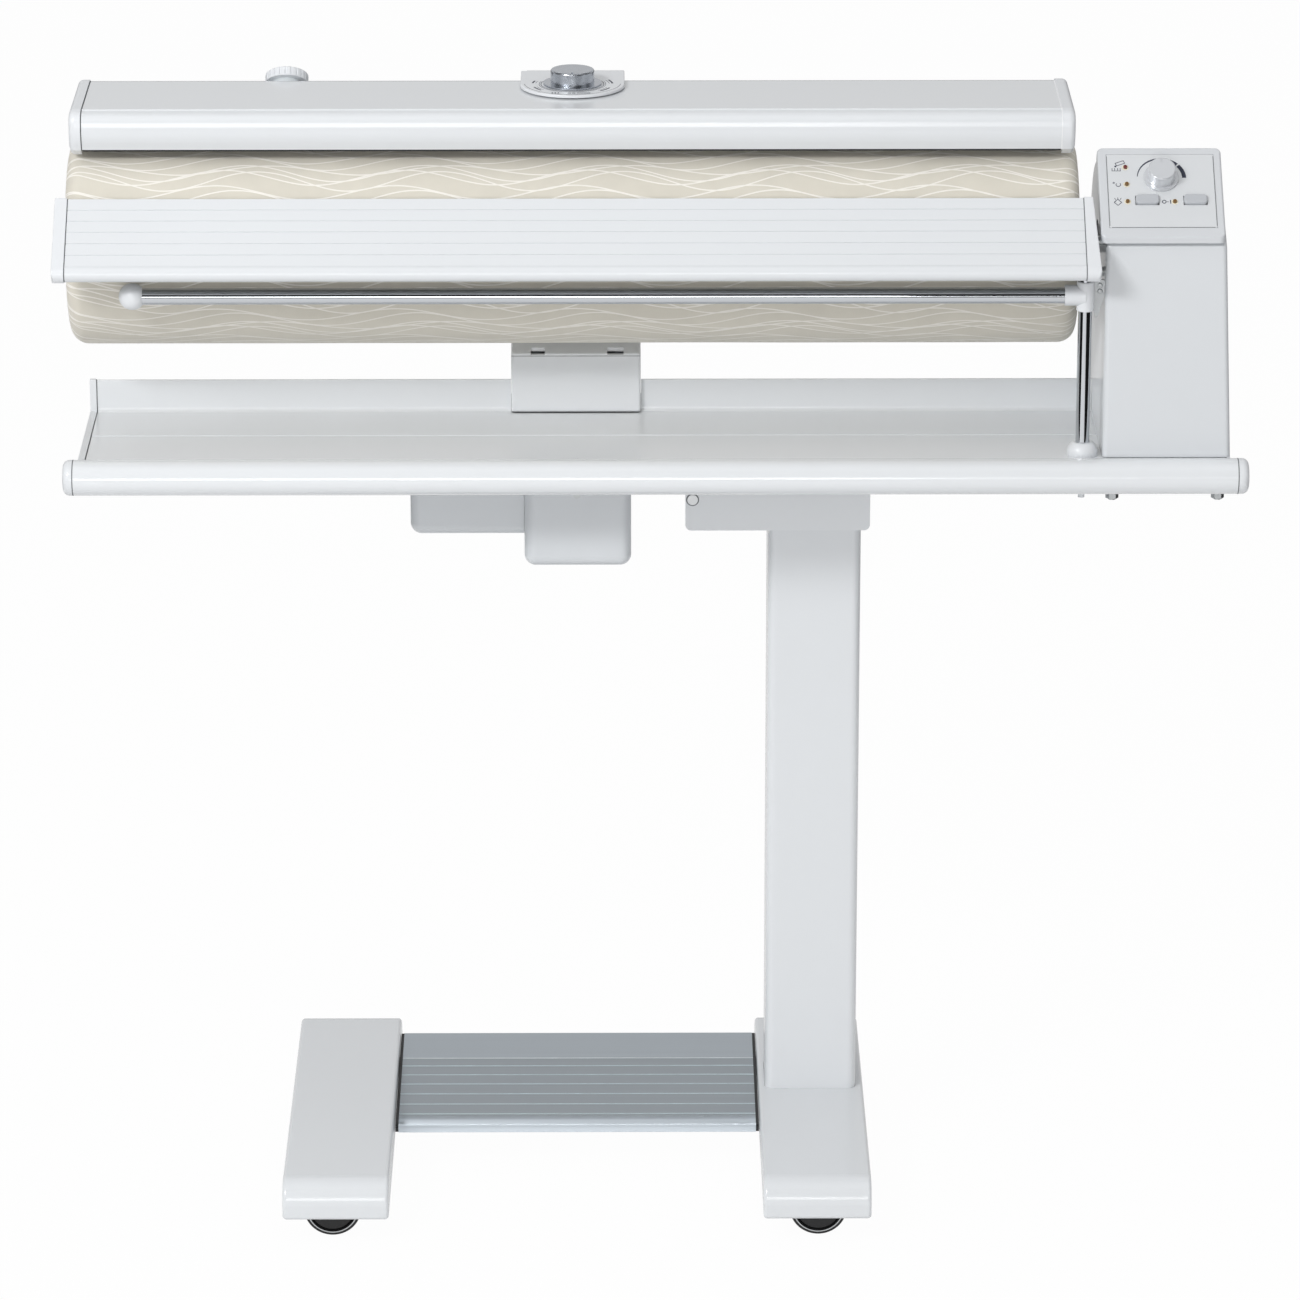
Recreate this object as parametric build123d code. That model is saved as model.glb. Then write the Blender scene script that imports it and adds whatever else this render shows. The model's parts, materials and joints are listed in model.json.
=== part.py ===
from build123d import *
import math
import os

# Rotary flatwork ironer on a wheeled stand.
# Frame: millimetres, X to the operator's right, Y away from the operator, Z up.
# The origin is on the floor under the middle of the whole machine.

# ---------------------------------------------------------------- driving dimensions
SHEET = 3.0                    # steel sheet of brackets and frames
SHELL = 2.5                    # wall of the moulded and folded covers
RUNNING = 0.06                 # radial clearance of a shaft that turns in its bore

# Stand
WHEEL_R, WHEEL_W, WHEEL_Y = 24.0, 20.0, 162.0
WHEEL_X = {"left": -270.0, "right": 138.5}
AXLE_R = 4.0
FOOT_HALF_DEPTH = 195.0
FOOT_Z0, FOOT_Z1 = 23.5, 56.0
FOOT_X = {"left": (-311.0, -222.0), "right": (92.0, 182.5)}
FOOT_NOSE_R = 20.0
BEAM_Y0, BEAM_Y1, BEAM_Z0, BEAM_Z1 = 92.0, 138.0, 24.0, 36.0
RAIL_HALF_W, RAIL_HALF_L, RAIL_Z0, RAIL_Z1 = 24.0, 147.0, 26.0, 46.0
COLUMN_X0, COLUMN_X1, COLUMN_Y0, COLUMN_Y1 = 97.4, 175.7, 14.0, 80.0
COLUMN_Z0, COLUMN_Z1, COLUMN_R = 47.0, 571.0, 7.0
BRACKET_X0, BRACKET_X1, BRACKET_Y0, BRACKET_Y1 = 27.4, 182.0, -12.0, 92.0
BRACKET_Z1 = 622.0

# Pedal bar between the feet
PEDAL_X0, PEDAL_X1 = -219.0, 89.0
PEDAL_BACK_Y, PEDAL_BACK_Z = 160.0, 50.0
PEDAL_FRONT_Y, PEDAL_FRONT_Z = -20.0, 38.2
PEDAL_T, PEDAL_NOSE, PEDAL_LIP = 3.0, 5.0, 7.6   # wall, reach of the rolled front, its height
PEDAL_GROOVES = (107.5, 92.3, 74.6, 56.4, 37.0, 17.1, -2.0)
PEDAL_HINGE_Y, PEDAL_HINGE_Z = 148.0, 38.5
PEDAL_SHAFT_R = 4.0

# Fold hinge of the head
PIN_X, PIN_Z, PIN_R = 33.4, 598.0, 4.4
LOCK_X, LOCK_Z, LOCK_R = 152.0, 609.0, 5.0

# Head: frame, tray and covers below it
FRAME_X0, FRAME_X1, FRAME_Y0, FRAME_Y1 = -200.0, 470.9, -28.9, 100.0
FRAME_Z0, FRAME_Z1 = 627.0, 658.0
TRAY_X0, TRAY_X1 = -466.6, 471.0          # floor and rear wall
TRAY_SIDE_X0, TRAY_SIDE_X1 = -472.0, 474.0   # outer faces of the moulded ends beside the floor
TUBE_X0, TUBE_X1 = -475.8, 479.5
TUBE_END_X0, TUBE_END_X1 = -483.6, 488.0
TRAY_TUBE_Y, TRAY_TUBE_Z, TRAY_TUBE_R = -109.0, 648.0, 14.7
TRAY_T, TRAY_FLOOR_Z, TRAY_WALL_Y, TRAY_WALL_Z1 = 2.0, 660.0, 41.0, 687.6
TRAY_CREASE_Y, TRAY_COVE_R = -29.0, 3.2
DEEP_X0, DEEP_X1, DEEP_Y0, DEEP_Z0 = -107.0, -18.0, -46.0, 549.5
SHALLOW_X0, SHALLOW_Y0, SHALLOW_Z0 = -202.0, -36.0, 574.2

# Roller
ROLLER_X0, ROLLER_X1 = -481.5, 350.0
ROLLER_Y, ROLLER_Z = 14.0, 816.6
ROLLER_R, CORE_R = 86.0, 80.0
SHAFT_R = 12.0

# Heated shoe, its arm and covers
PRESS_ANGLE = 3.5              # degrees from open to pressed
PRESS_Y, PRESS_Z, PIVOT_R = 128.0, 668.0, 6.0
SHOE_GAP, SHOE_T = 0.7, 7.0
SHOE_FRONT, SHOE_BACK = -16.0, 80.0
ARM_X, ARM_HALF, ARM_COVER_HALF = -64.0, 54.2, 40.5
HOUSING_Y0, HOUSING_Z1 = 35.0, 711.7
SADDLE_R = ROLLER_R + SHOE_GAP + SHOE_T + 14.0
COVER_X0, COVER_X1 = -467.6, 335.0
COVER_END_X0, COVER_END_X1 = -477.2, 345.6
COVER_FRONT_Y, COVER_TOP_Z, COVER_Z0 = -39.0, 936.6, 905.2
COVER_BEAD_Y, COVER_BEAD_Z, COVER_BEAD_R = -25.0, 935.9, 1.5   # the fine ridge along the front of the hood's top
COVER_TOP_BACK_Y, COVER_BACK_Y, COVER_BACK_Z0 = 72.0, 130.0, 812.0
KNOB_X, KNOB_Y, KNOB_R, KNOB_H = -66.1, 48.0, 18.1, 12.5
PLATE_HALF, PLATE_BACK_Y, PLATE_Z0, PLATE_Z1 = 43.1, 95.0, 937.7, 940.0
PLATE_REACH = 38.5             # from the widest place of the D forward
FILLER_X, FILLER_Y, FILLER_Z, FILLER_R, FILLER_TILT = -305.0, 92.0, 924.0, 18.0, 40.0
NECK_R, CAP_FOOT, CAP_H = 13.0, 5.9, 8.2      # neck, foot and height of the cap along the neck

# Control box and its sloped panel
BOX_X0, BOX_X1_LOW, BOX_X1_TOP = 369.0, 474.0, 465.5
BOX_Y0, BOX_Y0_LOW, BOX_Y1, BOX_Z0 = -84.0, -95.5, 99.0, 660.0
BOX_BACK_Z, BOX_BACK_R = 860.0, 70.0         # where the falling top meets the back, and the rounding there
SLOPE = 38.0                   # degrees, of the panel and of the feed board
PANEL_X, PANEL_Y, PANEL_Z = 415.4, -88.0, 845.0
PANEL_LENGTH, PANEL_T, PANEL_HALF, PANEL_LIP = 92.0, 9.5, 50.8, 5.4
PLATE_X, PLATE_S, PLATE_W, PLATE_H = 415.8, 47.0, 88.0, 75.0
OPENING_X, OPENING_W, OPENING_H = 417.5, 76.0, 60.0
DIAL_X, DIAL_S, DIAL_R, DIAL_H, DIAL_BASE_R = 416.1, 60.6, 11.3, 11.5, 14.2
LED_PLACES = ((387.1, 71.2), (387.6, 53.8), (387.6, 36.1), (426.2, 36.0))
BUTTON_S, BUTTON_HALF_W, BUTTON_HALF_H = 37.5, 9.5, 4.5
BUTTON_X = {"left": 403.7, "right": 443.1}

# Feed board
BOARD_X0, BOARD_X1, BOARD_END_X0, BOARD_END_X1 = -478.0, 352.0, -488.0, 364.0
BOARD_Y, BOARD_Z, BOARD_T = -60.0, 870.2, 2.5
BOARD_TOP_S, BOARD_NOSE_S, BOARD_NOSE_R = 1.0, -70.1, 7.0
BOARD_GROOVES = (-11.0, -22.2, -33.4, -45.1, -56.7)
HANGER_X, HANGER_Y0 = 357.5, -78.0   # plate between the board and the control box, and its front flange

# Laundry rail
RAIL_X, RAIL_Y, RAIL_Z = 352.8, -86.0, 795.5
POST_R, BAR_R, BALL_R, BALL_X = 5.7, 6.8, 11.0, -425.0
DOME_R, DOME_H = 12.6, 11.5
BALL_FLAT, SOCKET_R = 8.4, 7.4

# Roller drive: a pinion on the motor drives a gear on the roller shaft
GEAR_MODULE, GEAR_TEETH, PINION_TEETH = 2.5, 48, 12
GEAR_X0, GEAR_X1 = 393.0, 402.0
MOTOR_ANGLE = -76.0            # degrees from +Y to the motor, seen along X
CAM_Y, CAM_Z, CAM_R, CAM_THROW = 55.0, 600.0, 18.0, 2.2


# ---------------------------------------------------------------- helpers
def block(x0, x1, y0, y1, z0, z1):
    """A box between two corners."""
    return Pos((x0 + x1) / 2, (y0 + y1) / 2, (z0 + z1) / 2) * Box(x1 - x0, y1 - y0, z1 - z0)


def rod_x(radius, x0, x1, y, z):
    """A round bar along X."""
    return Pos((x0 + x1) / 2, y, z) * Rot(0, 90, 0) * Cylinder(radius, x1 - x0)


def rod_y(radius, x, y0, y1, z):
    """A round bar along Y."""
    return Pos(x, (y0 + y1) / 2, z) * Rot(90, 0, 0) * Cylinder(radius, y1 - y0)


def rod_z(radius, x, y, z0, z1):
    """A round bar along Z."""
    return Pos(x, y, (z0 + z1) / 2) * Cylinder(radius, z1 - z0)


def face_of(points, radii):
    """A flat face with an outline of straight runs and rounded corners."""
    if radii is None:
        return make_face(Polyline(*points, close=True).edges())
    return make_face(FilletPolyline(*points, radius=radii, close=True).edges())


def prism_x(points, x0, x1, radii=None):
    """A (Y, Z) outline pulled along X."""
    return extrude(Plane.YZ.offset(x0) * face_of(points, radii), amount=x1 - x0)


def prism_y(points, y0, y1, radii=None):
    """An (X, Z) outline pulled along Y."""
    return extrude(Plane.XZ.offset(-y1) * face_of(points, radii), amount=y1 - y0)


def prism_z(points, z0, z1, radii=None):
    """An (X, Y) outline pulled along Z."""
    return extrude(Plane.XY.offset(z0) * face_of(points, radii), amount=z1 - z0)


def soften(solid, radius, chosen):
    """Round the edges that the test picks."""
    edges = [edge for edge in solid.edges() if chosen(edge)]
    return fillet(edges, radius)


def polar(angle, radius, y=0.0, z=0.0):
    """A (Y, Z) point at an angle from the vertical, positive away from the operator."""
    turn = math.radians(angle)
    return (y + radius * math.sin(turn), z + radius * math.cos(turn))


def ring_sector(inner, outer, start, end, x0, x1, y, z):
    """A piece of pipe wall about an axis along X, between two angles from the vertical."""
    middle = (start + end) / 2
    outline = [
        ThreePointArc(polar(start, outer), polar(middle, outer), polar(end, outer)),
        Line(polar(end, outer), polar(end, inner)),
        ThreePointArc(polar(end, inner), polar(middle, inner), polar(start, inner)),
        Line(polar(start, inner), polar(start, outer)),
    ]
    face = make_face([edge for part in outline for edge in part.edges()])
    return Pos(0, y, z) * extrude(Plane.YZ.offset(x0) * face, amount=x1 - x0)


def opened(solid):
    """Swing a solid from the pressed place of the shoe back to its open place."""
    return solid.rotate(Axis((0, PRESS_Y, PRESS_Z), (1, 0, 0)), -PRESS_ANGLE)


def on_slope(s, n, y, z):
    """A (Y, Z) point at s up the slope and n off it, from a start point."""
    turn = math.radians(SLOPE)
    return (y + s * math.cos(turn) - n * math.sin(turn), z + s * math.sin(turn) + n * math.cos(turn))


def panel_point(s, n):
    return on_slope(s, n, PANEL_Y, PANEL_Z)


def panel_place(x, s, n=0.0):
    """A place on the panel whose own Z axis stands off the panel."""
    y, z = panel_point(s, n)
    return Pos(x, y, z) * Rot(SLOPE, 0, 0)


def gear(teeth, module, bore, x0, x1, y, z, turn):
    """A spur gear about an axis along X, with straight-sided teeth."""
    pitch_r = teeth * module / 2
    outer, root = pitch_r + 0.9 * module, pitch_r - 1.25 * module
    step = 360.0 / teeth
    points = []
    for tooth in range(teeth):
        middle = turn + tooth * step
        for share, radius in ((-0.30, root), (-0.10, outer), (0.10, outer), (0.30, root)):
            points.append(polar(middle + share * step, radius, y, z))
    return prism_x(points, x0, x1) - rod_x(bore, x0 - 1, x1 + 1, y, z)


PARTS = {}


def keep(name, *solids):
    """Name a finished piece, or a group of like pieces."""
    PARTS[name] = solids[0] if len(solids) == 1 else Compound(list(solids))


# ---------------------------------------------------------------- the stand
def foot_shell(side):
    """A long white foot: a pressed cover, open below, with a large round nose."""
    x0, x1 = FOOT_X[side]
    d = FOOT_HALF_DEPTH
    outer = prism_x(
        [(-d, FOOT_Z0), (-d, FOOT_Z1), (d, FOOT_Z1), (d, FOOT_Z0)], x0, x1,
        (3, FOOT_NOSE_R, FOOT_NOSE_R, 3),
    )
    outer = soften(outer, 3.2, lambda e: abs(e.center().X - (x0 + x1) / 2) > 40 and e.center().Z > FOOT_Z0 + 6)
    d = FOOT_HALF_DEPTH - SHEET
    inner = prism_x(
        [(-d, FOOT_Z0 - 5), (-d, FOOT_Z1 - SHEET), (d, FOOT_Z1 - SHEET), (d, FOOT_Z0 - 5)],
        x0 + SHEET, x1 - SHEET, (0, FOOT_NOSE_R - SHEET, FOOT_NOSE_R - SHEET, 0),
    )
    shell = outer - inner
    inside_x = x1 if side == "left" else x0
    gap = 0.5
    shell -= block(
        inside_x - 8, inside_x + 8, BEAM_Y0 - gap, BEAM_Y1 + gap, FOOT_Z0 - 5, BEAM_Z1 + gap)
    if side == "right":
        hole = Pos((COLUMN_X0 + COLUMN_X1) / 2, (COLUMN_Y0 + COLUMN_Y1) / 2, FOOT_Z1) * extrude(
            RectangleRounded(COLUMN_X1 - COLUMN_X0 + 0.4, COLUMN_Y1 - COLUMN_Y0 + 0.4, COLUMN_R), 20, both=True)
        shell -= hole
    return shell


def base_frame():
    """The welded steel frame inside the feet, with the box around each wheel."""
    frame = block(
        WHEEL_X["left"] + RAIL_HALF_W, WHEEL_X["right"] - RAIL_HALF_W, BEAM_Y0, BEAM_Y1, BEAM_Z0, BEAM_Z1)
    frame -= block(
        WHEEL_X["left"], WHEEL_X["right"], BEAM_Y0 + SHEET, BEAM_Y1 - SHEET, BEAM_Z0 + SHEET, BEAM_Z1 - SHEET)
    for x in WHEEL_X.values():
        rail = block(x - RAIL_HALF_W, x + RAIL_HALF_W, -RAIL_HALF_L, RAIL_HALF_L, RAIL_Z0, RAIL_Z1)
        inside = RAIL_HALF_W - SHEET
        rail -= block(x - inside, x + inside, -RAIL_HALF_L, RAIL_HALF_L, RAIL_Z0, RAIL_Z1 - SHEET)
        frame += rail
        for way in (-1, 1):
            near, far = sorted((way * RAIL_HALF_L, way * (RAIL_HALF_L + 30)))
            cage = block(x - 29, x + 29, near, far, 17, 33)
            cage -= block(x - 26, x + 26, near + SHEET, far - SHEET, 10, 40)
            web = way * (RAIL_HALF_L - SHEET / 2)
            frame += cage
            frame += block(x - 20, x + 20, web - SHEET / 2, web + SHEET / 2, 19, RAIL_Z1 - 1)
            spacer = way * 112
            frame += block(x - 10, x + 10, spacer - 8, spacer + 8, RAIL_Z1 - 1, FOOT_Z1 - SHEET)
        frame -= rod_y(AXLE_R + 0.02, x, -FOOT_HALF_DEPTH, 1 - RAIL_HALF_L + SHEET, WHEEL_R)
        frame -= rod_y(AXLE_R + 0.02, x, RAIL_HALF_L - SHEET - 1, FOOT_HALF_DEPTH, WHEEL_R)
    frame += block(COLUMN_X0 + 1, COLUMN_X1 - 1, COLUMN_Y0 - 6, COLUMN_Y1 + 6, RAIL_Z1 - 3, COLUMN_Z0)
    for x in (PEDAL_X0 + 14, PEDAL_X1 - 14):
        ear = block(x - 2, x + 2, BEAM_Y1 - 4, PEDAL_HINGE_Y + 7, BEAM_Z0 + 1, PEDAL_HINGE_Z + 5)
        frame += ear - rod_x(PEDAL_SHAFT_R, x - 5, x + 5, PEDAL_HINGE_Y, PEDAL_HINGE_Z)
    return frame


def wheel(x, y):
    """A hard black wheel with a rolled tread edge, turning about an axle along Y."""
    half = WHEEL_W / 2
    profile = face_of(
        [(AXLE_R + RUNNING, -half), (WHEEL_R - 6, -half), (WHEEL_R - 5, -half + 2), (WHEEL_R - 3.5, -half),
         (WHEEL_R, -half), (WHEEL_R, half), (WHEEL_R - 3.5, half), (WHEEL_R - 5, half - 2),
         (WHEEL_R - 6, half), (AXLE_R + RUNNING, half)],
        (0, 0, 0, 0, 1.5, 1.5, 0, 0, 0, 0),
    )
    solid = revolve(Plane.XY * profile, Axis.Y)
    return Pos(x, y, WHEEL_R) * solid


def column_tube():
    """The upright: a rounded rectangular tube."""
    w, d = COLUMN_X1 - COLUMN_X0, COLUMN_Y1 - COLUMN_Y0
    ring = RectangleRounded(w, d, COLUMN_R) - RectangleRounded(w - 2 * SHEET, d - 2 * SHEET, COLUMN_R - SHEET)
    tube = extrude(ring, COLUMN_Z1 - COLUMN_Z0)
    return Pos((COLUMN_X0 + COLUMN_X1) / 2, (COLUMN_Y0 + COLUMN_Y1) / 2, COLUMN_Z0) * tube


def column_bracket():
    """The channel on top of the column: two cheeks with rests, a floor, open at the hinge end."""
    cheek = [(BRACKET_X0, COLUMN_Z1), (BRACKET_X0, BRACKET_Z1), (BRACKET_X1, BRACKET_Z1), (BRACKET_X1, COLUMN_Z1)]
    solid = None
    for y in (BRACKET_Y0, BRACKET_Y1 - SHEET):
        plate = prism_y(cheek, y, y + SHEET, (5, 3, 3, 5))
        plate -= rod_y(PIN_R + 0.02, PIN_X, y - 1, y + SHEET + 1, PIN_Z)
        solid = plate if solid is None else solid + plate
    solid += block(62, BRACKET_X1 - 4, BRACKET_Y0, BRACKET_Y1, COLUMN_Z1, COLUMN_Z1 + SHEET)
    solid += block(
        BRACKET_X1 - 4 - SHEET, BRACKET_X1 - 4, BRACKET_Y0, BRACKET_Y1, COLUMN_Z1, BRACKET_Z1 - 4)
    for x in (70, 166):
        for y in (BRACKET_Y0, BRACKET_Y1 - SHEET):
            solid += block(x - 9, x + 9, y, y + SHEET, BRACKET_Z1 - 1, FRAME_Z0 - 0.2)
    return solid - rod_y(LOCK_R + RUNNING, LOCK_X, BRACKET_Y1 - SHEET - 1, BRACKET_Y1 + 1, LOCK_Z)


def make_stand():
    keep("foot_covers", foot_shell("left"), foot_shell("right"))
    keep("base_frame", base_frame())
    axles = []
    for side, x in WHEEL_X.items():
        for end, y in (("front", -WHEEL_Y), ("rear", WHEEL_Y)):
            keep(f"wheel_{end}_{side}", wheel(x, y))
            axles.append(rod_y(AXLE_R, x, y - 16, y + 16, WHEEL_R))
    keep("wheel_axles", *axles)
    keep("column_tube", column_tube())
    keep("column_bracket", column_bracket())
    groove = Pos(PIN_X, BRACKET_Y1 + 3, PIN_Z) * Rot(90, 0, 0)
    pin = rod_y(PIN_R, PIN_X, BRACKET_Y0 - 0.8, BRACKET_Y1 + 5, PIN_Z)
    pin -= groove * (Cylinder(9, 1.2) - Cylinder(PIN_R - 0.6, 3))
    clip = groove * (Cylinder(7.5, 1.1) - Cylinder(PIN_R - 0.58, 3))
    keep("hinge_pin", pin, clip)


# ---------------------------------------------------------------- fold lock
def make_fold_lock():
    """A bolt that is pushed 9 mm through the rear cheek into the head's tab; here it is drawn back."""
    start = BRACKET_Y1 - 3.5
    bolt = rod_y(LOCK_R, LOCK_X, start, start + 34, LOCK_Z)
    grip = Pos(LOCK_X, start + 34 + 6, LOCK_Z) * Rot(90, 0, 0) * Cylinder(11, 14)
    bolt += soften(grip, 2.5, lambda e: e.geom_type == GeomType.CIRCLE)
    keep("fold_lock_bolt", bolt)
    sleeve = rod_y(9.0, LOCK_X, BRACKET_Y1, BRACKET_Y1 + 12, LOCK_Z)
    keep("fold_lock_sleeve", sleeve - rod_y(LOCK_R + RUNNING, LOCK_X, BRACKET_Y1 - 1, BRACKET_Y1 + 13, LOCK_Z))


# ---------------------------------------------------------------- pedal
def pedal_top(y):
    """Height of the sloped top of the pedal bar."""
    share = (y - PEDAL_FRONT_Y) / (PEDAL_BACK_Y - PEDAL_FRONT_Y)
    return PEDAL_FRONT_Z + share * (PEDAL_BACK_Z - PEDAL_FRONT_Z)


def pedal_bar():
    """An extruded aluminium foot bar with fine grooves and a rolled front."""
    t, y0, y1 = PEDAL_T, PEDAL_FRONT_Y - PEDAL_NOSE, PEDAL_FRONT_Y + 4
    z0, z1 = PEDAL_FRONT_Z - PEDAL_LIP, PEDAL_FRONT_Z - 0.3
    outline = [
        (PEDAL_BACK_Y, pedal_top(PEDAL_BACK_Y)), (y0, z1), (y0, z0), (y1, z0), (y1, z0 + 1.6),
        (y0 + t, z0 + 1.6), (y0 + t, z1 - t),
        (BEAM_Y1 + 3, pedal_top(BEAM_Y1 + 3) - t),
        (BEAM_Y1 + 3, PEDAL_HINGE_Z - 5),
        (PEDAL_BACK_Y - t, PEDAL_HINGE_Z - 5),
        (PEDAL_BACK_Y - t, PEDAL_HINGE_Z - 9),
        (PEDAL_BACK_Y, PEDAL_HINGE_Z - 9),
    ]
    bar = prism_x(outline, PEDAL_X0, PEDAL_X1, (2, 3.4, 3.4, 0.6, 0.6, 0.6, 0.6, 0, 0, 0, 0, 0))
    for y in PEDAL_GROOVES:
        bar -= block(PEDAL_X0 - 1, PEDAL_X1 + 1, y - 0.6, y + 0.6, pedal_top(y) - 0.8, pedal_top(y) + 2)
    for x in (PEDAL_X0 + 14, PEDAL_X1 - 14):
        bar -= block(x - 3.5, x + 3.5, BEAM_Y1 + 1, PEDAL_BACK_Y - t + 1, 20, PEDAL_HINGE_Z + 6)
    return bar - rod_x(PEDAL_SHAFT_R + RUNNING, PEDAL_X0 - 1, PEDAL_X1 + 1, PEDAL_HINGE_Y, PEDAL_HINGE_Z)


def make_pedal():
    keep("pedal_bar", pedal_bar())
    keep("pedal_shaft", rod_x(PEDAL_SHAFT_R, PEDAL_X0 + 4, PEDAL_X1 - 4, PEDAL_HINGE_Y, PEDAL_HINGE_Z))
    switches = []
    for x in (-150.0, 20.0):
        body = block(x - 9, x + 9, BEAM_Y0 - 20, BEAM_Y0, BEAM_Z0 + 1, BEAM_Z1 - 2)
        switches.append(body + rod_z(2.5, x, BEAM_Y0 - 12, BEAM_Z1 - 3, BEAM_Z1 + 1))
    keep("pedal_switches", *switches)


# ---------------------------------------------------------------- head frame and tray
def head_frame():
    """A folded steel channel under the tray, with the hinge lugs and the lock tab."""
    frame = block(FRAME_X0, FRAME_X1, FRAME_Y0, FRAME_Y1, FRAME_Z0, FRAME_Z1)
    frame -= block(FRAME_X0 + SHEET, FRAME_X1 + 1, FRAME_Y0 + SHEET, FRAME_Y1 - SHEET, FRAME_Z0 - 1, FRAME_Z1 - SHEET)
    lug = [(PIN_X - 6, FRAME_Z1 - 1), (PIN_X - 6, PIN_Z - 9), (PIN_X + 11, PIN_Z - 9), (PIN_X + 34, FRAME_Z1 - 1)]
    for y in (BRACKET_Y0 + SHEET + 1, BRACKET_Y1 - SHEET - 1 - 5):
        plate = prism_y(lug, y, y + 5, (0, 5.5, 8, 0))
        frame += plate - rod_y(PIN_R + RUNNING, PIN_X, y - 1, y + 6, PIN_Z)
    y = BRACKET_Y1 - SHEET - 1 - 5
    tab = prism_y([(LOCK_X - 11, FRAME_Z1 - 1), (LOCK_X - 11, LOCK_Z - 10), (LOCK_X + 11, LOCK_Z - 10),
                   (LOCK_X + 11, FRAME_Z1 - 1)], y, y + 5, (0, 8, 8, 0))
    frame += tab - rod_y(LOCK_R + 0.1, LOCK_X, y - 1, y + 6, LOCK_Z)
    frame -= block(-40, -24, FRAME_Y1 - 22, FRAME_Y1 + 1, FRAME_Z0 - 1, FRAME_Z1 + 1)
    for x, y in box_screw_places():
        frame -= rod_z(3.3, x, y, FRAME_Z0 - 1, FRAME_Z1 + 1)
    return frame


def box_screw_places():
    """Where the control box is screwed down through the tray."""
    return [(379.2, -74.0), (466.4, -74.0), (389.0, 34.0), (401.0, 84.0)]


def tray():
    """The laundry tray: a round front tube, a floor with a light crease and a rear wall."""
    r, t, floor = TRAY_TUBE_R, TRAY_T, TRAY_FLOOR_Z
    solid = rod_x(r, TUBE_X0, TUBE_X1, TRAY_TUBE_Y, TRAY_TUBE_Z)
    solid += block(TRAY_X0, TRAY_X1, TRAY_TUBE_Y + 9, TRAY_CREASE_Y, floor - 0.6 - t, floor - 0.6)
    rear = [(TRAY_CREASE_Y, floor - t), (TRAY_WALL_Y + t, floor - t), (TRAY_WALL_Y + t, TRAY_WALL_Z1),
            (TRAY_WALL_Y, TRAY_WALL_Z1), (TRAY_WALL_Y, floor), (TRAY_CREASE_Y, floor)]
    solid += prism_x(rear, TRAY_X0, TRAY_X1, (0, TRAY_COVE_R + t, 0.9, 0.9, TRAY_COVE_R, 0))
    solid -= rod_x(r - t, TUBE_X0 - 1, TUBE_X1 + 1, TRAY_TUBE_Y, TRAY_TUBE_Z)
    solid -= block(ARM_X - ARM_HALF - 0.4, ARM_X + ARM_HALF + 0.4, HOUSING_Y0 - 0.4, TRAY_WALL_Y + 5,
                   floor - t - 1, TRAY_WALL_Z1 + 1)
    solid -= block(BOX_X0 - 0.5, TRAY_X1 + 1, TRAY_WALL_Y - 4, TRAY_WALL_Y + 5, floor, TRAY_WALL_Z1 + 1)
    solid -= block(BOX_X0 - 1.6, BOX_X0 - 0.8, TRAY_CREASE_Y - 1, TRAY_WALL_Y + 5, floor - 0.5, floor + 0.01)
    solid -= rod_z(SOCKET_R + 0.05, RAIL_X, RAIL_Y, floor - 10, floor + 5)
    for x, y in box_screw_places():
        solid -= rod_z(3.3, x, y, floor - 10, floor + 5)
    return solid


def tray_end(tube_far, tube_near, side_far, side_near, wall):
    """The moulded end pieces of one side: a plug in the tube and a strip beside the floor and the wall."""
    plug = rod_x(TRAY_TUBE_R, *sorted((tube_far, tube_near)), TRAY_TUBE_Y, TRAY_TUBE_Z)
    plug = soften(plug, 5.5, lambda e: abs(e.center().X - tube_far) < 0.01)
    plug += rod_x(TRAY_TUBE_R - TRAY_T, *sorted((tube_near, side_near)), TRAY_TUBE_Y, TRAY_TUBE_Z)
    x0, x1 = sorted((side_far, side_near))
    top = TRAY_FLOOR_Z + (0.6 if wall else 0.0)
    side = block(x0, x1, TRAY_TUBE_Y + 8, TRAY_WALL_Y + 2, TRAY_FLOOR_Z - 4, top)
    side -= rod_x(TRAY_TUBE_R + 0.05, x0 - 1, x1 + 1, TRAY_TUBE_Y, TRAY_TUBE_Z)
    if wall:
        post = block(x0, x1, TRAY_WALL_Y - 1, TRAY_WALL_Y + 3, TRAY_FLOOR_Z - 4, TRAY_WALL_Z1 + 0.6)
        side += soften(post, 1.2, lambda e: e.center().Z > TRAY_WALL_Z1)
    return plug, side


def tub(x0, x1, y0, y1, z0, z1, radius, square_right=False):
    """An open-topped moulded cover with rounded lower and upright edges; its right end may be square."""
    def rounded(solid, size, top, right):
        return soften(solid, size, lambda e: e.center().Z < top and not (square_right and e.center().X > right - 0.01))
    solid = rounded(block(x0, x1, y0, y1, z0, z1), radius, z1 - 1, x1)
    inner = block(x0 + SHELL, x1 - SHELL, y0 + SHELL, y1 - SHELL, z0 + SHELL, z1 + radius)
    return solid - rounded(inner, radius - SHELL, z1, x1 - SHELL)


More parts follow.
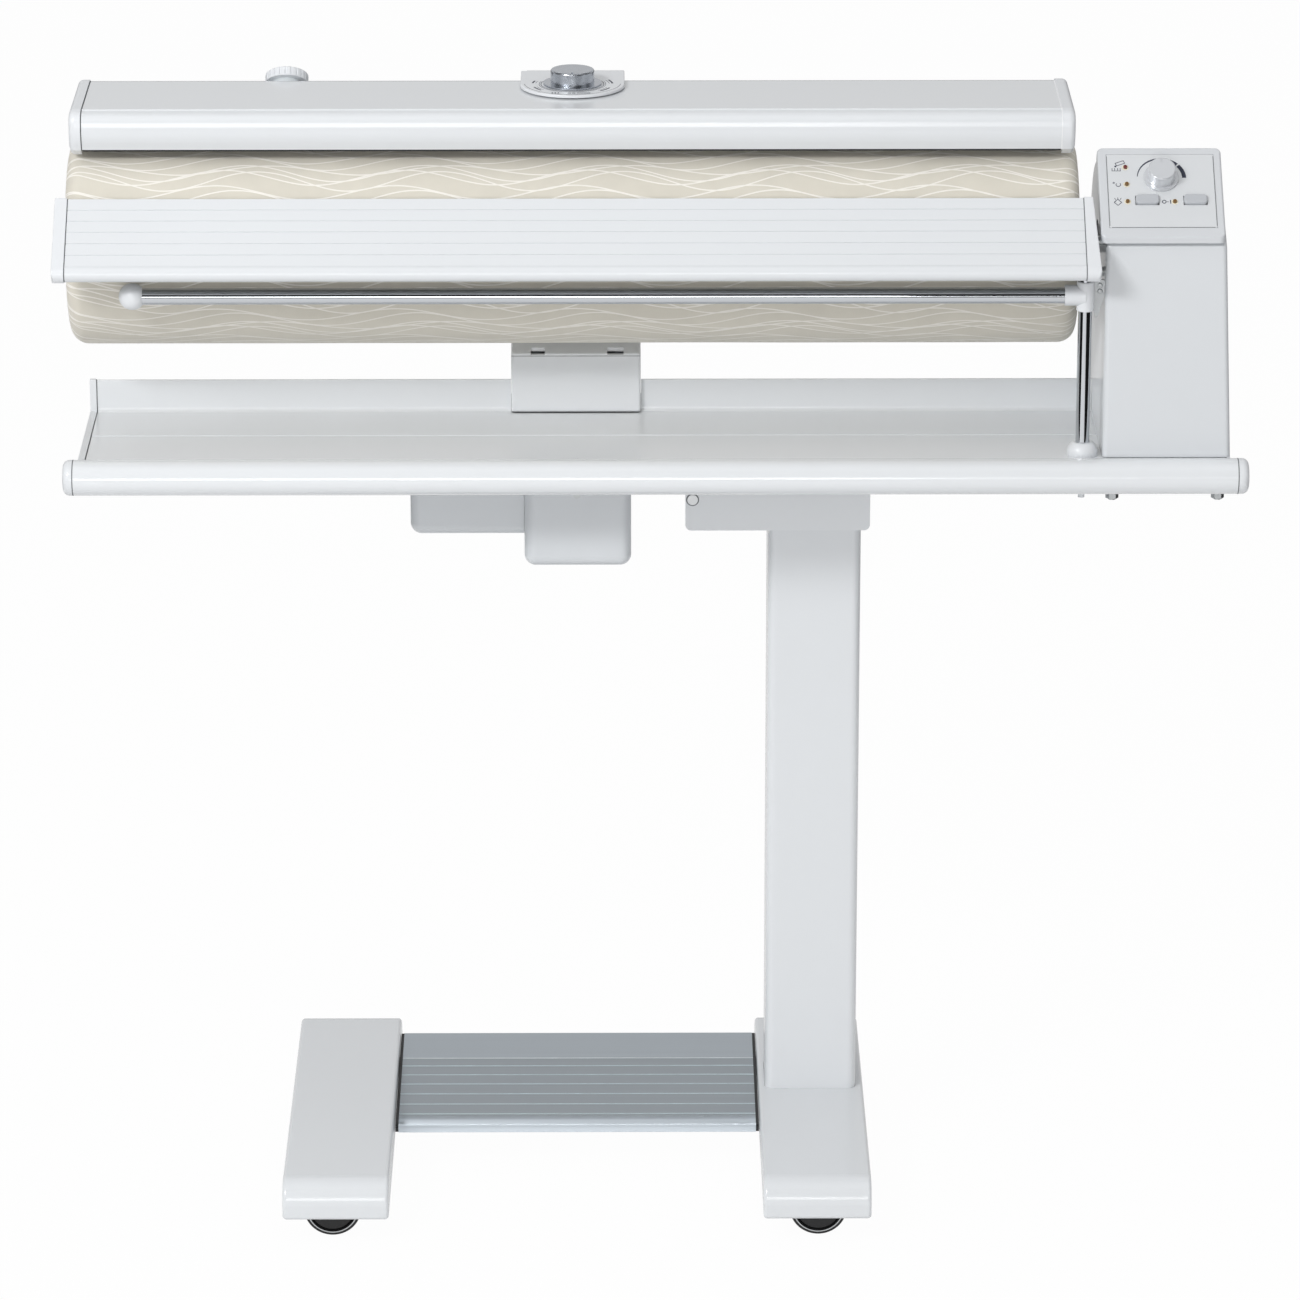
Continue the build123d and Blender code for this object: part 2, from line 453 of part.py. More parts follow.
def make_head():
    keep("head_frame", head_frame())
    keep("tray", tray())
    keep("tray_ends", *tray_end(TUBE_END_X0, TUBE_X0, TRAY_SIDE_X0, TRAY_X0, True),
         *tray_end(TUBE_END_X1, TUBE_X1, TRAY_SIDE_X1, TRAY_X1, False))
    deep = tub(DEEP_X0, DEEP_X1, DEEP_Y0, 146, DEEP_Z0, FRAME_Z0 - 0.2, 9.5)
    keep("drive_cover_deep", deep)
    shallow = tub(SHALLOW_X0, DEEP_X0 - 0.2, SHALLOW_Y0, FRAME_Y1, SHALLOW_Z0, FRAME_Z0 - 0.2, 9.5, True)
    keep("drive_cover_shallow", shallow)


# ---------------------------------------------------------------- arm housing and press drive
def arm_housing():
    """The fixed white housing that the press arm rises from, behind the tray."""
    y0, y1, z1 = HOUSING_Y0, HOUSING_Y0 + SHELL, HOUSING_Z1
    outline = [(y0, TRAY_FLOOR_Z), (y0, z1), (96, 744), (150, 744),
               (150, FRAME_Z0), (FRAME_Y1, FRAME_Z0), (FRAME_Y1, TRAY_FLOOR_Z)]
    solid = prism_x(outline, ARM_X - ARM_HALF, ARM_X + ARM_HALF, (3, 2, 10, 10, 4, 0, 0))
    solid = soften(solid, 2.0, lambda e: abs(abs(e.center().X - ARM_X) - ARM_HALF) < 0.01
                   and e.center().Z > TRAY_FLOOR_Z + 1 and e.center().Y < 60)
    inner = [(y1, TRAY_FLOOR_Z - 1), (y1, z1 - 2), (97, 741.2), (98, 760), (147.5, 760),
             (147.5, FRAME_Z0 - 1), (FRAME_Y1 + 2.8, FRAME_Z0 - 1), (FRAME_Y1 + 2.8, TRAY_FLOOR_Z - 1)]
    solid -= prism_x(inner, ARM_X - ARM_HALF + SHELL, ARM_X + ARM_HALF - SHELL)
    for x, half in ((-95.9, 5.9), (-30.9, 6.8)):
        solid -= block(x - half, x + half, y0 - 5, y1 + 4, z1 - 1, z1 + 3.5)
    foot = block(ARM_X - 50, ARM_X + 50, 60, FRAME_Y1 + 13, FRAME_Z1, FRAME_Z1 + 4)
    return solid - foot - lever_slot()


def lever_slot():
    """Room for the lever of the press arm, through the frame and the housing."""
    return block(-40, -24, FRAME_Y1 - 24, FRAME_Y1 + 13, FRAME_Z0 - 1, TRAY_FLOOR_Z + 4)


def arm_pivot_bracket():
    """Two steel cheeks with bosses that carry the pivot shaft of the press arm."""
    z0 = FRAME_Z1
    cheek = [(62, z0), (108, PRESS_Z + 16), (PRESS_Y + 14, PRESS_Z + 16), (PRESS_Y + 14, z0)]
    solid = block(-108, -19, 62, FRAME_Y1 + 12, z0, z0 + 4)
    for x in (-96.0, -46.0):
        solid += prism_x(cheek, x, x + 4, (0, 8, 8, 0))
    solid += rod_x(10.0, -100, -92, PRESS_Y, PRESS_Z)
    solid -= rod_x(PIVOT_R + RUNNING, -101, -39, PRESS_Y, PRESS_Z)
    return solid - lever_slot()


def make_press_drive():
    keep("arm_housing", arm_housing())
    keep("arm_pivot_bracket", arm_pivot_bracket())
    motor = rod_x(21, -103, -72, 22, 588)
    motor += block(-72, -44, 0, 76, 566, 624)
    motor += block(-66, -50, 20, 60, 624, FRAME_Z1 - SHEET)
    keep("press_gearmotor", motor)
    cam = rod_x(CAM_R, -37, -27, CAM_Y - CAM_THROW, CAM_Z)
    cam += rod_x(7, -43.5, -37, CAM_Y, CAM_Z)
    keep("press_cam", cam)
    board = block(-196, -112, -20, 84, 600, 601.6)
    for x0, x1, y0, y1, z1 in ((-190, -165, -10, 20, 618), (-160, -140, -12, 10, 612), (-150, -118, 40, 76, 622),
                               (-192, -170, 40, 70, 610)):
        board += block(x0, x1, y0, y1, 601.6, z1)
    for x, y in ((-186, -14), (-122, -14), (-186, 78), (-122, 78)):
        board += rod_z(3, x, y, SHALLOW_Z0 + SHELL, 600)
    keep("circuit_boards", board, control_board())


# ---------------------------------------------------------------- press arm and heated shoe
def press_arm():
    """Two steel arm plates with a web, a hub tube, a saddle on the shoe and the lever that the cam pushes."""
    z = PRESS_Z
    plate = [(PRESS_Y - 12, z - 12), (PRESS_Y - 10, 790), (PRESS_Y - 2, 850), (PRESS_Y - 20, 882),
             (PRESS_Y - 8, 892), (PRESS_Y + 14, 870), (PRESS_Y + 14, 790), (PRESS_Y + 12, z - 12)]
    solid = rod_x(11, -88, -48, PRESS_Y, z)
    for x in (-88.0, -52.0):
        solid += prism_x(plate, x, x + 4, (10, 20, 8, 4, 8, 10, 20, 10))
    solid += block(-86, -50, PRESS_Y + 8, PRESS_Y + 12, 720, 868)
    solid += rod_x(PIVOT_R, -99, -24, PRESS_Y, z)
    lever = [(PRESS_Y - 10, z + 9), (PRESS_Y + 10, z + 9), (PRESS_Y + 12, z - 8), (CAM_Y + 37, CAM_Z - 12),
             (CAM_Y + 17.4, CAM_Z - 10), (CAM_Y + 17.4, CAM_Z + 10)]
    solid += prism_x(lever, -36, -28, (6, 6, 6, 5, 2, 2))
    outer = ROLLER_R + SHOE_GAP + SHOE_T
    return solid + opened(ring_sector(outer, SADDLE_R, 50, 70, -250, 122, ROLLER_Y, ROLLER_Z))


def shoe_plate():
    """The curved heated plate, with a lip turned up for the laundry to enter."""
    inner = ROLLER_R + SHOE_GAP
    solid = ring_sector(inner, inner + SHOE_T, SHOE_FRONT, SHOE_BACK, COVER_X0 + 1.5, COVER_X1 - 1.5,
                        ROLLER_Y, ROLLER_Z)
    y0, z0 = polar(SHOE_FRONT, inner, ROLLER_Y, ROLLER_Z)
    y1, z1 = polar(SHOE_FRONT, inner + SHOE_T, ROLLER_Y, ROLLER_Z)
    lip = [(y0, z0), (y0 - 9, z0 + 2.0), (y0 - 9, z0 + 5.0), (y1, z1)]
    return opened(solid + prism_x(lip, COVER_X0 + 1.5, COVER_X1 - 1.5))


def shoe_bore(radius, x0, x1):
    """A cylinder about the open shoe's own axis."""
    return opened(rod_x(radius, x0, x1, ROLLER_Y, ROLLER_Z))


def cover_outline(inset):
    """The (Y, Z) outline of the shoe cover with its rolled front, drawn in by a wall."""
    return [
        (COVER_FRONT_Y + 5.5 + inset, COVER_Z0),
        (COVER_FRONT_Y + inset, COVER_Z0 + 13),
        (COVER_FRONT_Y + 2 + inset, COVER_TOP_Z - 2.5 - inset),
        (COVER_FRONT_Y + 14 + inset, COVER_TOP_Z - inset),
        (COVER_TOP_BACK_Y + 8 - inset * 0.4, COVER_TOP_Z - inset),
        (COVER_BACK_Y - inset, 892 - inset * 0.6),
        (COVER_BACK_Y - inset, COVER_BACK_Z0),
    ]


def shoe_cover():
    """The white extruded hood over the shoe."""
    solid = prism_x(cover_outline(0), COVER_X0, COVER_X1, (0, 26, 8, 6, 22, 26, 0))
    solid += rod_x(COVER_BEAD_R, COVER_X0, COVER_X1, COVER_BEAD_Y, COVER_BEAD_Z)
    hollow = cover_outline(SHELL)
    hollow.insert(0, (hollow[0][0], COVER_BACK_Z0 - 30))
    hollow[-1] = (hollow[-1][0], COVER_BACK_Z0 - 30)
    solid -= prism_x(hollow, COVER_X0 - 1, COVER_X1 + 1, (0, 1, 24, 6, 4, 20, 24, 0))
    gap = ARM_COVER_HALF + 0.5
    solid -= block(ARM_X - gap, ARM_X + gap, 76, 140, 700, COVER_TOP_Z + 1)
    solid -= rod_z(3.6, KNOB_X, KNOB_Y, COVER_TOP_Z - 10, COVER_TOP_Z + 5)
    return solid - filler_bore(NECK_R + 0.3)


def filler_bore(radius):
    """The tilted hole of the tank's neck."""
    return Pos(FILLER_X, FILLER_Y, FILLER_Z) * Rot(-FILLER_TILT, 0, 0) * Cylinder(radius, 60)


def shoe_cover_end(x0, x1):
    """A moulded end cap of the hood."""
    solid = prism_x(cover_outline(-1.2), x0, x1, (0, 27, 9, 7, 23, 27, 0))
    outer_x = x0 if abs(x0) > abs(x1) else x1
    solid = soften(solid, 4.6, lambda e: abs(e.center().X - outer_x) < 0.01)
    return solid - shoe_bore(ROLLER_R + 3, x0 - 1, x1 + 1)


def arm_cover():
    """The moulded cover behind the shoe that hides the arm and ends in the D-shaped plate of the knob."""
    half = ARM_COVER_HALF
    outline = [(COVER_BACK_Y + 0.8, 738), (COVER_BACK_Y + 0.8, 880), (77, 880), (77, PLATE_Z0), (112, PLATE_Z0),
               (146.5, 908), (146.5, 738)]
    solid = prism_x(outline, ARM_X - half, ARM_X + half, (0, 0, 0, 0, 26, 24, 0))
    inner = [(COVER_BACK_Y - 2, 737), (COVER_BACK_Y - 2, 870), (70, 870), (70, PLATE_Z0 - 2.6),
             (111, PLATE_Z0 - 2.6), (144, 907), (144, 737)]
    solid -= prism_x(inner, ARM_X - half + SHELL, ARM_X + half - SHELL, (0, 0, 0, 0, 24, 22, 0))
    solid -= shoe_bore(SADDLE_R + 1.2, ARM_X - half - 1, ARM_X + half + 1)
    return solid + knob_plate()


def knob_plate():
    """The D-shaped scale plate below the temperature knob."""
    y = KNOB_Y - 1
    outline = Polyline((KNOB_X - PLATE_HALF, y), (KNOB_X - PLATE_HALF, PLATE_BACK_Y),
                       (KNOB_X + PLATE_HALF, PLATE_BACK_Y), (KNOB_X + PLATE_HALF, y))
    front = ThreePointArc((KNOB_X + PLATE_HALF, y), (KNOB_X, y - PLATE_REACH), (KNOB_X - PLATE_HALF, y))
    face = make_face(outline.edges() + front.edges())
    plate = extrude(Plane.XY.offset(PLATE_Z0) * face, amount=PLATE_Z1 - PLATE_Z0)
    plate = soften(plate, 0.8, lambda e: e.center().Z > PLATE_Z1 - 0.01)
    return plate - rod_z(3.6, KNOB_X, KNOB_Y, PLATE_Z0 - 1, PLATE_Z1 + 1)


def temperature_knob():
    """A turned silver knob with a low ring, a shaft and a small pointer groove."""
    z = PLATE_Z1 + 0.3
    solid = rod_z(24.2, KNOB_X, KNOB_Y, z, z + 1.4)
    top = rod_z(KNOB_R, KNOB_X, KNOB_Y, z + 1.4, z + KNOB_H)
    solid += soften(top, 1.6, lambda e: e.center().Z > z + KNOB_H - 0.1)
    solid += rod_z(3.0, KNOB_X, KNOB_Y, COVER_TOP_Z - 15, z)
    return solid - block(KNOB_X - 0.8, KNOB_X + 0.8, KNOB_Y - KNOB_R - 1, KNOB_Y - KNOB_R + 6, z + KNOB_H - 0.7,
                         z + KNOB_H + 1)


def make_shoe():
    keep("shoe_plate", shoe_plate())
    keep("press_arm", press_arm())
    rod_r = 3.2
    radius = ROLLER_R + SHOE_GAP + SHOE_T + rod_r + 0.05
    rods = []
    for angle in (12.0, 38.0):
        y, z = polar(angle, radius, ROLLER_Y, ROLLER_Z)
        rods.append(opened(rod_x(rod_r, COVER_X0 + 8, COVER_X1 - 8, y, z)))
    keep("heating_rods", *rods)
    keep("shoe_cover", shoe_cover())
    keep("shoe_cover_ends", shoe_cover_end(COVER_END_X0, COVER_X0), shoe_cover_end(COVER_X1, COVER_END_X1))
    keep("arm_cover", arm_cover())
    keep("temperature_knob", temperature_knob())
    body = rod_z(14, KNOB_X, KNOB_Y, 922, COVER_TOP_Z - SHELL)
    body -= rod_z(3.0 + RUNNING, KNOB_X, KNOB_Y, 918, COVER_TOP_Z)
    y, z = polar(25.0, ROLLER_R + SHOE_GAP + SHOE_T + 5.05, ROLLER_Y, ROLLER_Z)
    keep("thermostats", body, opened(rod_x(5.0, 150, 178, y, z)))


# ---------------------------------------------------------------- steam tank
def water_tank():
    """The curved tank between the hood and the back of the shoe, with its tilted neck."""
    x0, x1 = FILLER_X - 100, FILLER_X + 48
    inner = SADDLE_R - 5.5
    tank = opened(ring_sector(inner, inner + 12, 26, 62, x0, x1, ROLLER_Y, ROLLER_Z))
    tank -= opened(ring_sector(inner + 2, inner + 10, 27, 61, x0 + 2, x1 - 2, ROLLER_Y, ROLLER_Z))
    place = Pos(FILLER_X, FILLER_Y, FILLER_Z) * Rot(-FILLER_TILT, 0, 0)
    neck_z = CAP_FOOT + CAP_H - 2.4
    tank += place * Pos(0, 0, (neck_z - 17) / 2) * Cylinder(NECK_R, neck_z + 17)
    return tank - place * Pos(0, 0, (neck_z - 15) / 2 + 0.5) * Cylinder(NECK_R - 2.5, neck_z + 16)


def make_tank():
    keep("water_tank", water_tank())
    place = Pos(FILLER_X, FILLER_Y, FILLER_Z) * Rot(-FILLER_TILT, 0, 0)
    cap = place * Pos(0, 0, CAP_FOOT + CAP_H / 2) * Cylinder(FILLER_R, CAP_H)
    cap = soften(cap, 1.2, lambda e: e.geom_type == GeomType.CIRCLE and e.center().Z > FILLER_Z + CAP_FOOT + 3)
    cap -= place * Pos(0, 0, CAP_FOOT + CAP_H - 2.2 - 6) * Cylinder(NECK_R + 0.3, 12)
    for step in range(24):
        turn = 2 * math.pi * step / 24
        flute = Pos(FILLER_R * math.cos(turn), FILLER_R * math.sin(turn), CAP_FOOT + CAP_H / 2 + 1) * Cylinder(1.0, CAP_H)
        cap -= place * flute
    keep("filler_cap", cap)


# ---------------------------------------------------------------- roller
def end_ring(x0, x1, inner, outer):
    return rod_x(outer, x0, x1, ROLLER_Y, ROLLER_Z) - rod_x(inner, x0 - 1, x1 + 1, ROLLER_Y, ROLLER_Z)


def roller_padding():
    """The padded cloth sleeve, rounded and drawn in over both ends."""
    inner = CORE_R + 0.1
    mouth = 58.0
    outline = [(ROLLER_X0, mouth), (ROLLER_X0, ROLLER_R), (ROLLER_X1, ROLLER_R), (ROLLER_X1, mouth),
               (ROLLER_X1 - 5, mouth), (ROLLER_X1 - 5, inner), (ROLLER_X0 + 5, inner), (ROLLER_X0 + 5, mouth)]
    face = face_of(outline, (2, 14, 14, 2, 2, 0, 0, 2))
    solid = revolve(Plane.XY * face, Axis.X)
    return Pos(0, ROLLER_Y, ROLLER_Z) * solid


def make_roller():
    keep("roller_padding", roller_padding())
    core = end_ring(ROLLER_X0 + 5.2, ROLLER_X1 - 5.2, CORE_R - 2.5, CORE_R)
    for x0 in (ROLLER_X0 + 20, ROLLER_X1 - 60):
        core += end_ring(x0, x0 + 4, SHAFT_R, CORE_R - 2)
        core += end_ring(x0, x0 + 14, SHAFT_R, SHAFT_R + 8)
    keep("roller_core", core)
    keep("roller_shaft", rod_x(SHAFT_R, ROLLER_X0 + 14, 428, ROLLER_Y, ROLLER_Z))
    big = gear(GEAR_TEETH, GEAR_MODULE, SHAFT_R, GEAR_X0, GEAR_X1, ROLLER_Y, ROLLER_Z, 0.0)
    keep("roller_gear", big)


# ---------------------------------------------------------------- control box
def motor_place():
    distance = (GEAR_TEETH + PINION_TEETH) * GEAR_MODULE / 2
    turn = math.radians(MOTOR_ANGLE)
    return ROLLER_Y + distance * math.cos(turn), ROLLER_Z + distance * math.sin(turn)


def box_outline(inset, z0):
    """The (Y, Z) outline of the box: leaning front, sloped panel seat, and a top that falls away to the back."""
    front_y, front_z = panel_point(0, -PANEL_T - inset)
    back_y, back_z = panel_point(PANEL_LENGTH - 8, -PANEL_T - inset)
    return [(BOX_Y0_LOW + inset, z0), (BOX_Y0 + inset, front_z + (BOX_Y0 + inset - front_y) * 0.8),
            (back_y, back_z), (back_y + 8, back_z + 4 - inset * 0.5), (BOX_Y1 - inset, BOX_BACK_Z - inset * 1.4),
            (BOX_Y1 - inset, z0)]


def box_body(inset, z0):
    """The box grown in by a wall: its sides come together a little towards the top."""
    radii = (0, 2, 4, 3, BOX_BACK_R - inset, 0)
    solid = prism_x(box_outline(inset, z0), BOX_X0 + inset, BOX_X1_LOW - inset, radii)
    side = BOX_X1_LOW - inset
    taper = [(side, BOX_Z0), (side + 10, BOX_Z0), (side + 10, 905), (BOX_X1_TOP - inset, 905)]
    return solid - prism_y(taper, BOX_Y0_LOW - 5, BOX_Y1 + 5)


def control_box():
    """The white control box shell, open below."""
    solid = soften(box_body(0, BOX_Z0), 4.0, lambda e: e.geom_type == GeomType.LINE
                   and e.center().Y < BOX_Y0 + 0.5 and 720 < e.center().Z < 790)
    solid -= box_body(SHELL, BOX_Z0 - 1)
    solid -= rod_x(SHAFT_R + 4, BOX_X0 - 1, BOX_X0 + 5, ROLLER_Y, ROLLER_Z)
    solid -= rod_y(9, 450, BOX_Y1 - 5, BOX_Y1 + 5, 690)
    return solid - panel_opening()


def panel_opening():
    """The opening under the panel for the shafts, lamps and buttons."""
    return panel_place(OPENING_X, PANEL_LENGTH / 2, -PANEL_T - 3) * Box(OPENING_W, OPENING_H + 2, 12)


def panel_cap():
    """The sloped cap with rounded corners and an upright front lip that carries the panel plate."""
    seat_y, seat_z = panel_point(0, -PANEL_T)
    foot = PANEL_Y, PANEL_Z - PANEL_LIP
    foot_back = seat_y + (foot[1] - seat_z) / math.tan(math.radians(SLOPE)), foot[1]
    outline = [foot, (PANEL_Y, PANEL_Z), panel_point(PANEL_LENGTH, 0), panel_point(PANEL_LENGTH, -PANEL_T), foot_back]
    slab = prism_x(outline, PANEL_X - PANEL_HALF, PANEL_X + PANEL_HALF)
    y0, y1 = PANEL_Y, panel_point(PANEL_LENGTH, -PANEL_T / 2)[0]
    slab = soften(slab, 5.0, lambda e: abs(abs(e.center().X - PANEL_X) - PANEL_HALF) < 0.01
                  and (abs(e.center().Y - y0) < 0.01 or abs(e.center().Y - y1) < 0.01))
    normal = Vector(0, *on_slope(0, 1, 0, 0))
    top = max(slab.faces(), key=lambda f: f.center().dot(normal))
    slab = fillet(top.outer_wire().edges(), 2.0)
    slab -= panel_place(PLATE_X, PLATE_S) * Box(PLATE_W + 0.4, PLATE_H + 0.4, 2.2)
    return slab - panel_place(OPENING_X, PLATE_S, -PANEL_T / 2 - 1.6) * Box(OPENING_W, OPENING_H, PANEL_T + 2)


def panel_plate():
    """The thin grey plate let into the cap, pierced for dial, lamps and buttons."""
    plate = panel_place(PLATE_X, PLATE_S, -0.55) * extrude(RectangleRounded(PLATE_W, PLATE_H, 1.5), 0.45, both=True)
    plate -= panel_place(DIAL_X, DIAL_S) * Cylinder(3.1, 10)
    for x, s in LED_PLACES:
        plate -= panel_place(x, s) * Cylinder(1.75, 10)
    for x in BUTTON_X.values():
        plate -= panel_place(x, BUTTON_S) * Box(2 * BUTTON_HALF_W + 0.6, 2 * BUTTON_HALF_H + 0.6, 10)
    return plate


def speed_dial():
    """A turned silver dial on a wide low base, with its shaft."""
    place = panel_place(DIAL_X, DIAL_S)
    solid = place * Pos(0, 0, 0.9) * Cylinder(DIAL_BASE_R, 1.2)
    top = Pos(0, 0, 1.5 + DIAL_H / 2) * Cylinder(DIAL_R, DIAL_H)
    top = fillet([e for e in top.edges() if e.center().Z > DIAL_H], 1.2)
    solid += place * top
    solid += place * Pos(0, 0, -8) * Cylinder(3.0, 17)
    return solid - place * Pos(0, DIAL_R - 2.5, DIAL_H + 1.5) * Box(1.2, 6, 1.4)


def push_button(x):
    """A rounded grey button that slides square to the panel."""
    cap = extrude(RectangleRounded(2 * BUTTON_HALF_W, 2 * BUTTON_HALF_H, 3), 6)
    cap = fillet([e for e in cap.edges() if e.center().Z > 5.9], 1.0)
    stem = Pos(0, 0, -2) * Cylinder(2.0, 4)
    return panel_place(x, BUTTON_S, -3.2) * (cap + stem)


def led_lenses():
    return [panel_place(x, s, -1.0) * Cylinder(1.6, 5) for x, s in LED_PLACES]


def control_board():
    """The circuit board under the panel, with the dial's potentiometer and the switches."""
    place = panel_place(PANEL_X, 50.0, -17.5)
    board = place * Box(70, 52, 1.6)
    pot = panel_place(DIAL_X, DIAL_S, -13.6) * (Cylinder(8, 6) - Cylinder(3.0 + RUNNING, 8))
    board += pot
    board -= panel_place(DIAL_X, DIAL_S, -17) * Cylinder(3.2, 6)
    for x in BUTTON_X.values():
        board += panel_place(x, BUTTON_S, -14.6) * Box(7, 7, 4.4)
    for x in (PANEL_X - 31, PANEL_X + 31):
        for s in (28.0, 72.0):
            board += panel_place(x, s, -13.65) * Cylinder(2.2, 6.2)
    return board


def bearing_frame():
    """The welded steel frame inside the box that holds the roller's bearings."""
    cheek = [(-40, BOX_Z0 + 3), (-40, 840), (-20, 852), (48, 852), (70, 830), (70, BOX_Z0 + 3)]
    y, z = motor_place()
    solid = block(BOX_X0 + 2.8, 471.2, -80, 94, BOX_Z0, BOX_Z0 + 3)
    for x in (BOX_X0 + 5, 409.0):
        plate = prism_x(cheek, x, x + 10, (0, 6, 10, 10, 10, 0))
        solid += plate - rod_x(26.0, x - 1, x + 11, ROLLER_Y, ROLLER_Z)
    solid += block(BOX_X0 + 5, 419, 64, 70, BOX_Z0 + 3, 720)
    solid -= rod_x(7.5, 405, 423, y, z)
    for sx, sy in box_screw_places():
        solid -= rod_z(3.3, sx, sy, BOX_Z0 - 1, BOX_Z0 + 5)
    return solid


def make_control_box():
    keep("control_box", control_box())
    keep("panel_cap", panel_cap())
    keep("panel_plate", panel_plate())
    keep("speed_dial", speed_dial())
    for side, x in BUTTON_X.items():
        keep(f"push_button_{side}", push_button(x))
    keep("led_lenses", *led_lenses())
    keep("bearing_frame", bearing_frame())
    bearings = [rod_x(25.95, x, x + 10, ROLLER_Y, ROLLER_Z) - rod_x(SHAFT_R + RUNNING, x - 1, x + 11, ROLLER_Y, ROLLER_Z)
                for x in (BOX_X0 + 5, 409.0)]
    keep("roller_bearings", *bearings)
    y, z = motor_place()
    motor = rod_x(33, 419.0, 463, y, z)
    motor = soften(motor, 3, lambda e: e.center().X > 462)
    motor += rod_x(7.4, 409, 419.2, y, z)
    motor -= rod_x(4.0 + RUNNING, 408, 440, y, z)
    keep("roller_motor", motor)
    small = gear(PINION_TEETH, GEAR_MODULE, 3.9, GEAR_X0 + 0.5, GEAR_X1 - 0.5, y, z, pinion_turn())
    keep("motor_pinion", small + rod_x(4.0, GEAR_X0 - 3, 438, y, z))
    inlet = rod_y(8.9, 450, BOX_Y1 - 14, BOX_Y1 + 8, 690)
    inlet += rod_y(11.5, 450, BOX_Y1 + 0.1, BOX_Y1 + 4, 690)
    inlet += rod_y(11.5, 450, BOX_Y1 - 6, BOX_Y1 - SHELL - 0.1, 690)
    keep("cable_gland", inlet - rod_y(4.2, 450, BOX_Y1 - 20, BOX_Y1 + 12, 690))
    screws = []
    for x, y in box_screw_places():
        long = y < 0
        low = 617.6 if long else 644.0
        screw = rod_z(3.0, x, y, low, BOX_Z0 + 3.2) + rod_z(4.4, x, y, BOX_Z0 + 3, BOX_Z0 + 6.5)
        if long:
            screw += rod_z(4.0, x, y, low + 6, TRAY_FLOOR_Z - 4.2)
            screw += Pos(x, y, low + 1.2) * extrude(RegularPolygon(5.4, 6), 5)
        else:
            screw += Pos(x, y, FRAME_Z1 - SHEET - 5.2) * extrude(RegularPolygon(5.8, 6), 5.2)
        screws.append(screw)
    for z in (801.6, 796.6):
        head = rod_y(2.1, 365.2, HANGER_Y0 - 1.5, HANGER_Y0, z)
        screws.append(soften(head, 0.7, lambda e: e.center().Y < HANGER_Y0 - 1))
    keep("head_screws", *screws)


def pinion_turn():
    """Turn of the pinion that puts a gap of it on the line of centres, where the gear has a tooth."""
    towards_motor = 90.0 - MOTOR_ANGLE           # angle of the motor from the vertical, seen from the roller
    gear_step = 360.0 / GEAR_TEETH
    lead = (towards_motor / gear_step) % 1.0     # how far the nearest gear tooth is past the line
    pinion_step = 360.0 / PINION_TEETH
    back = towards_motor + 180.0
    return back + (0.5 + lead) * pinion_step


# ---------------------------------------------------------------- feed board
def board_point(s, n):
    return on_slope(s, n, BOARD_Y, BOARD_Z)


def nose(radius, x0, x1):
    """A round bar along the front edge of the feed board, a little proud of its top."""
    return rod_x(radius, x0, x1, *board_point(BOARD_NOSE_S, 0.4 - BOARD_NOSE_R))


def feed_board():
    """The sloped white feed board: a grooved plate that ends in a round front nose."""
    outline = [(BOARD_TOP_S, 0), (BOARD_NOSE_S, 0), (BOARD_NOSE_S, -BOARD_T), (BOARD_TOP_S, -BOARD_T)]
    board = prism_x([board_point(*p) for p in outline], BOARD_X0, BOARD_X1, (1, 0, 0, 1))
    board = board + nose(BOARD_NOSE_R, BOARD_X0, BOARD_X1) - nose(BOARD_NOSE_R - 2, BOARD_X0 - 1, BOARD_X1 + 1)
    for s in BOARD_GROOVES:
        y, z = board_point(s, 0)
        board -= Pos((BOARD_X0 + BOARD_X1) / 2, y, z) * Rot(SLOPE, 0, 0) * Box(BOARD_X1 - BOARD_X0 + 2, 1.0, 1.0)
    return board


def feed_board_end(x0, x1, top_x, corner):
    """A moulded end cap that closes the board's section; its outer side may lean in towards the top."""
    far = BOARD_NOSE_S - BOARD_NOSE_R
    outline = [(BOARD_TOP_S + 0.7, 0.7), (far - 0.5, 0.7), (far - 0.5, -2 * BOARD_NOSE_R), (far + 22, -2 * BOARD_NOSE_R),
               (BOARD_TOP_S + 0.7, -3.2)]
    solid = prism_x([board_point(*p) for p in outline], x0, x1, (1.2, 7, 6.5, 6, 1))
    outer_x, inner_x = (x0, x1) if abs(x0) > abs(x1) else (x1, x0)
    plan = [(inner_x, BOARD_TOP_S + 1), (top_x, BOARD_TOP_S + 1), (outer_x, far - 1), (inner_x, far - 1)]
    y, z = board_point(0, 0)
    shape = Plane(origin=(0, y, z), x_dir=(1, 0, 0), z_dir=(0, *on_slope(0, 1, 0, 0))) * face_of(plan, (0, 2, corner, 0))
    solid &= extrude(shape, 20, both=True)
    return soften(solid, 0.8, lambda e: e.geom_type == GeomType.LINE and abs(e.center().X - outer_x) < 5.5
                  and abs(e.center().X - inner_x) > 5)


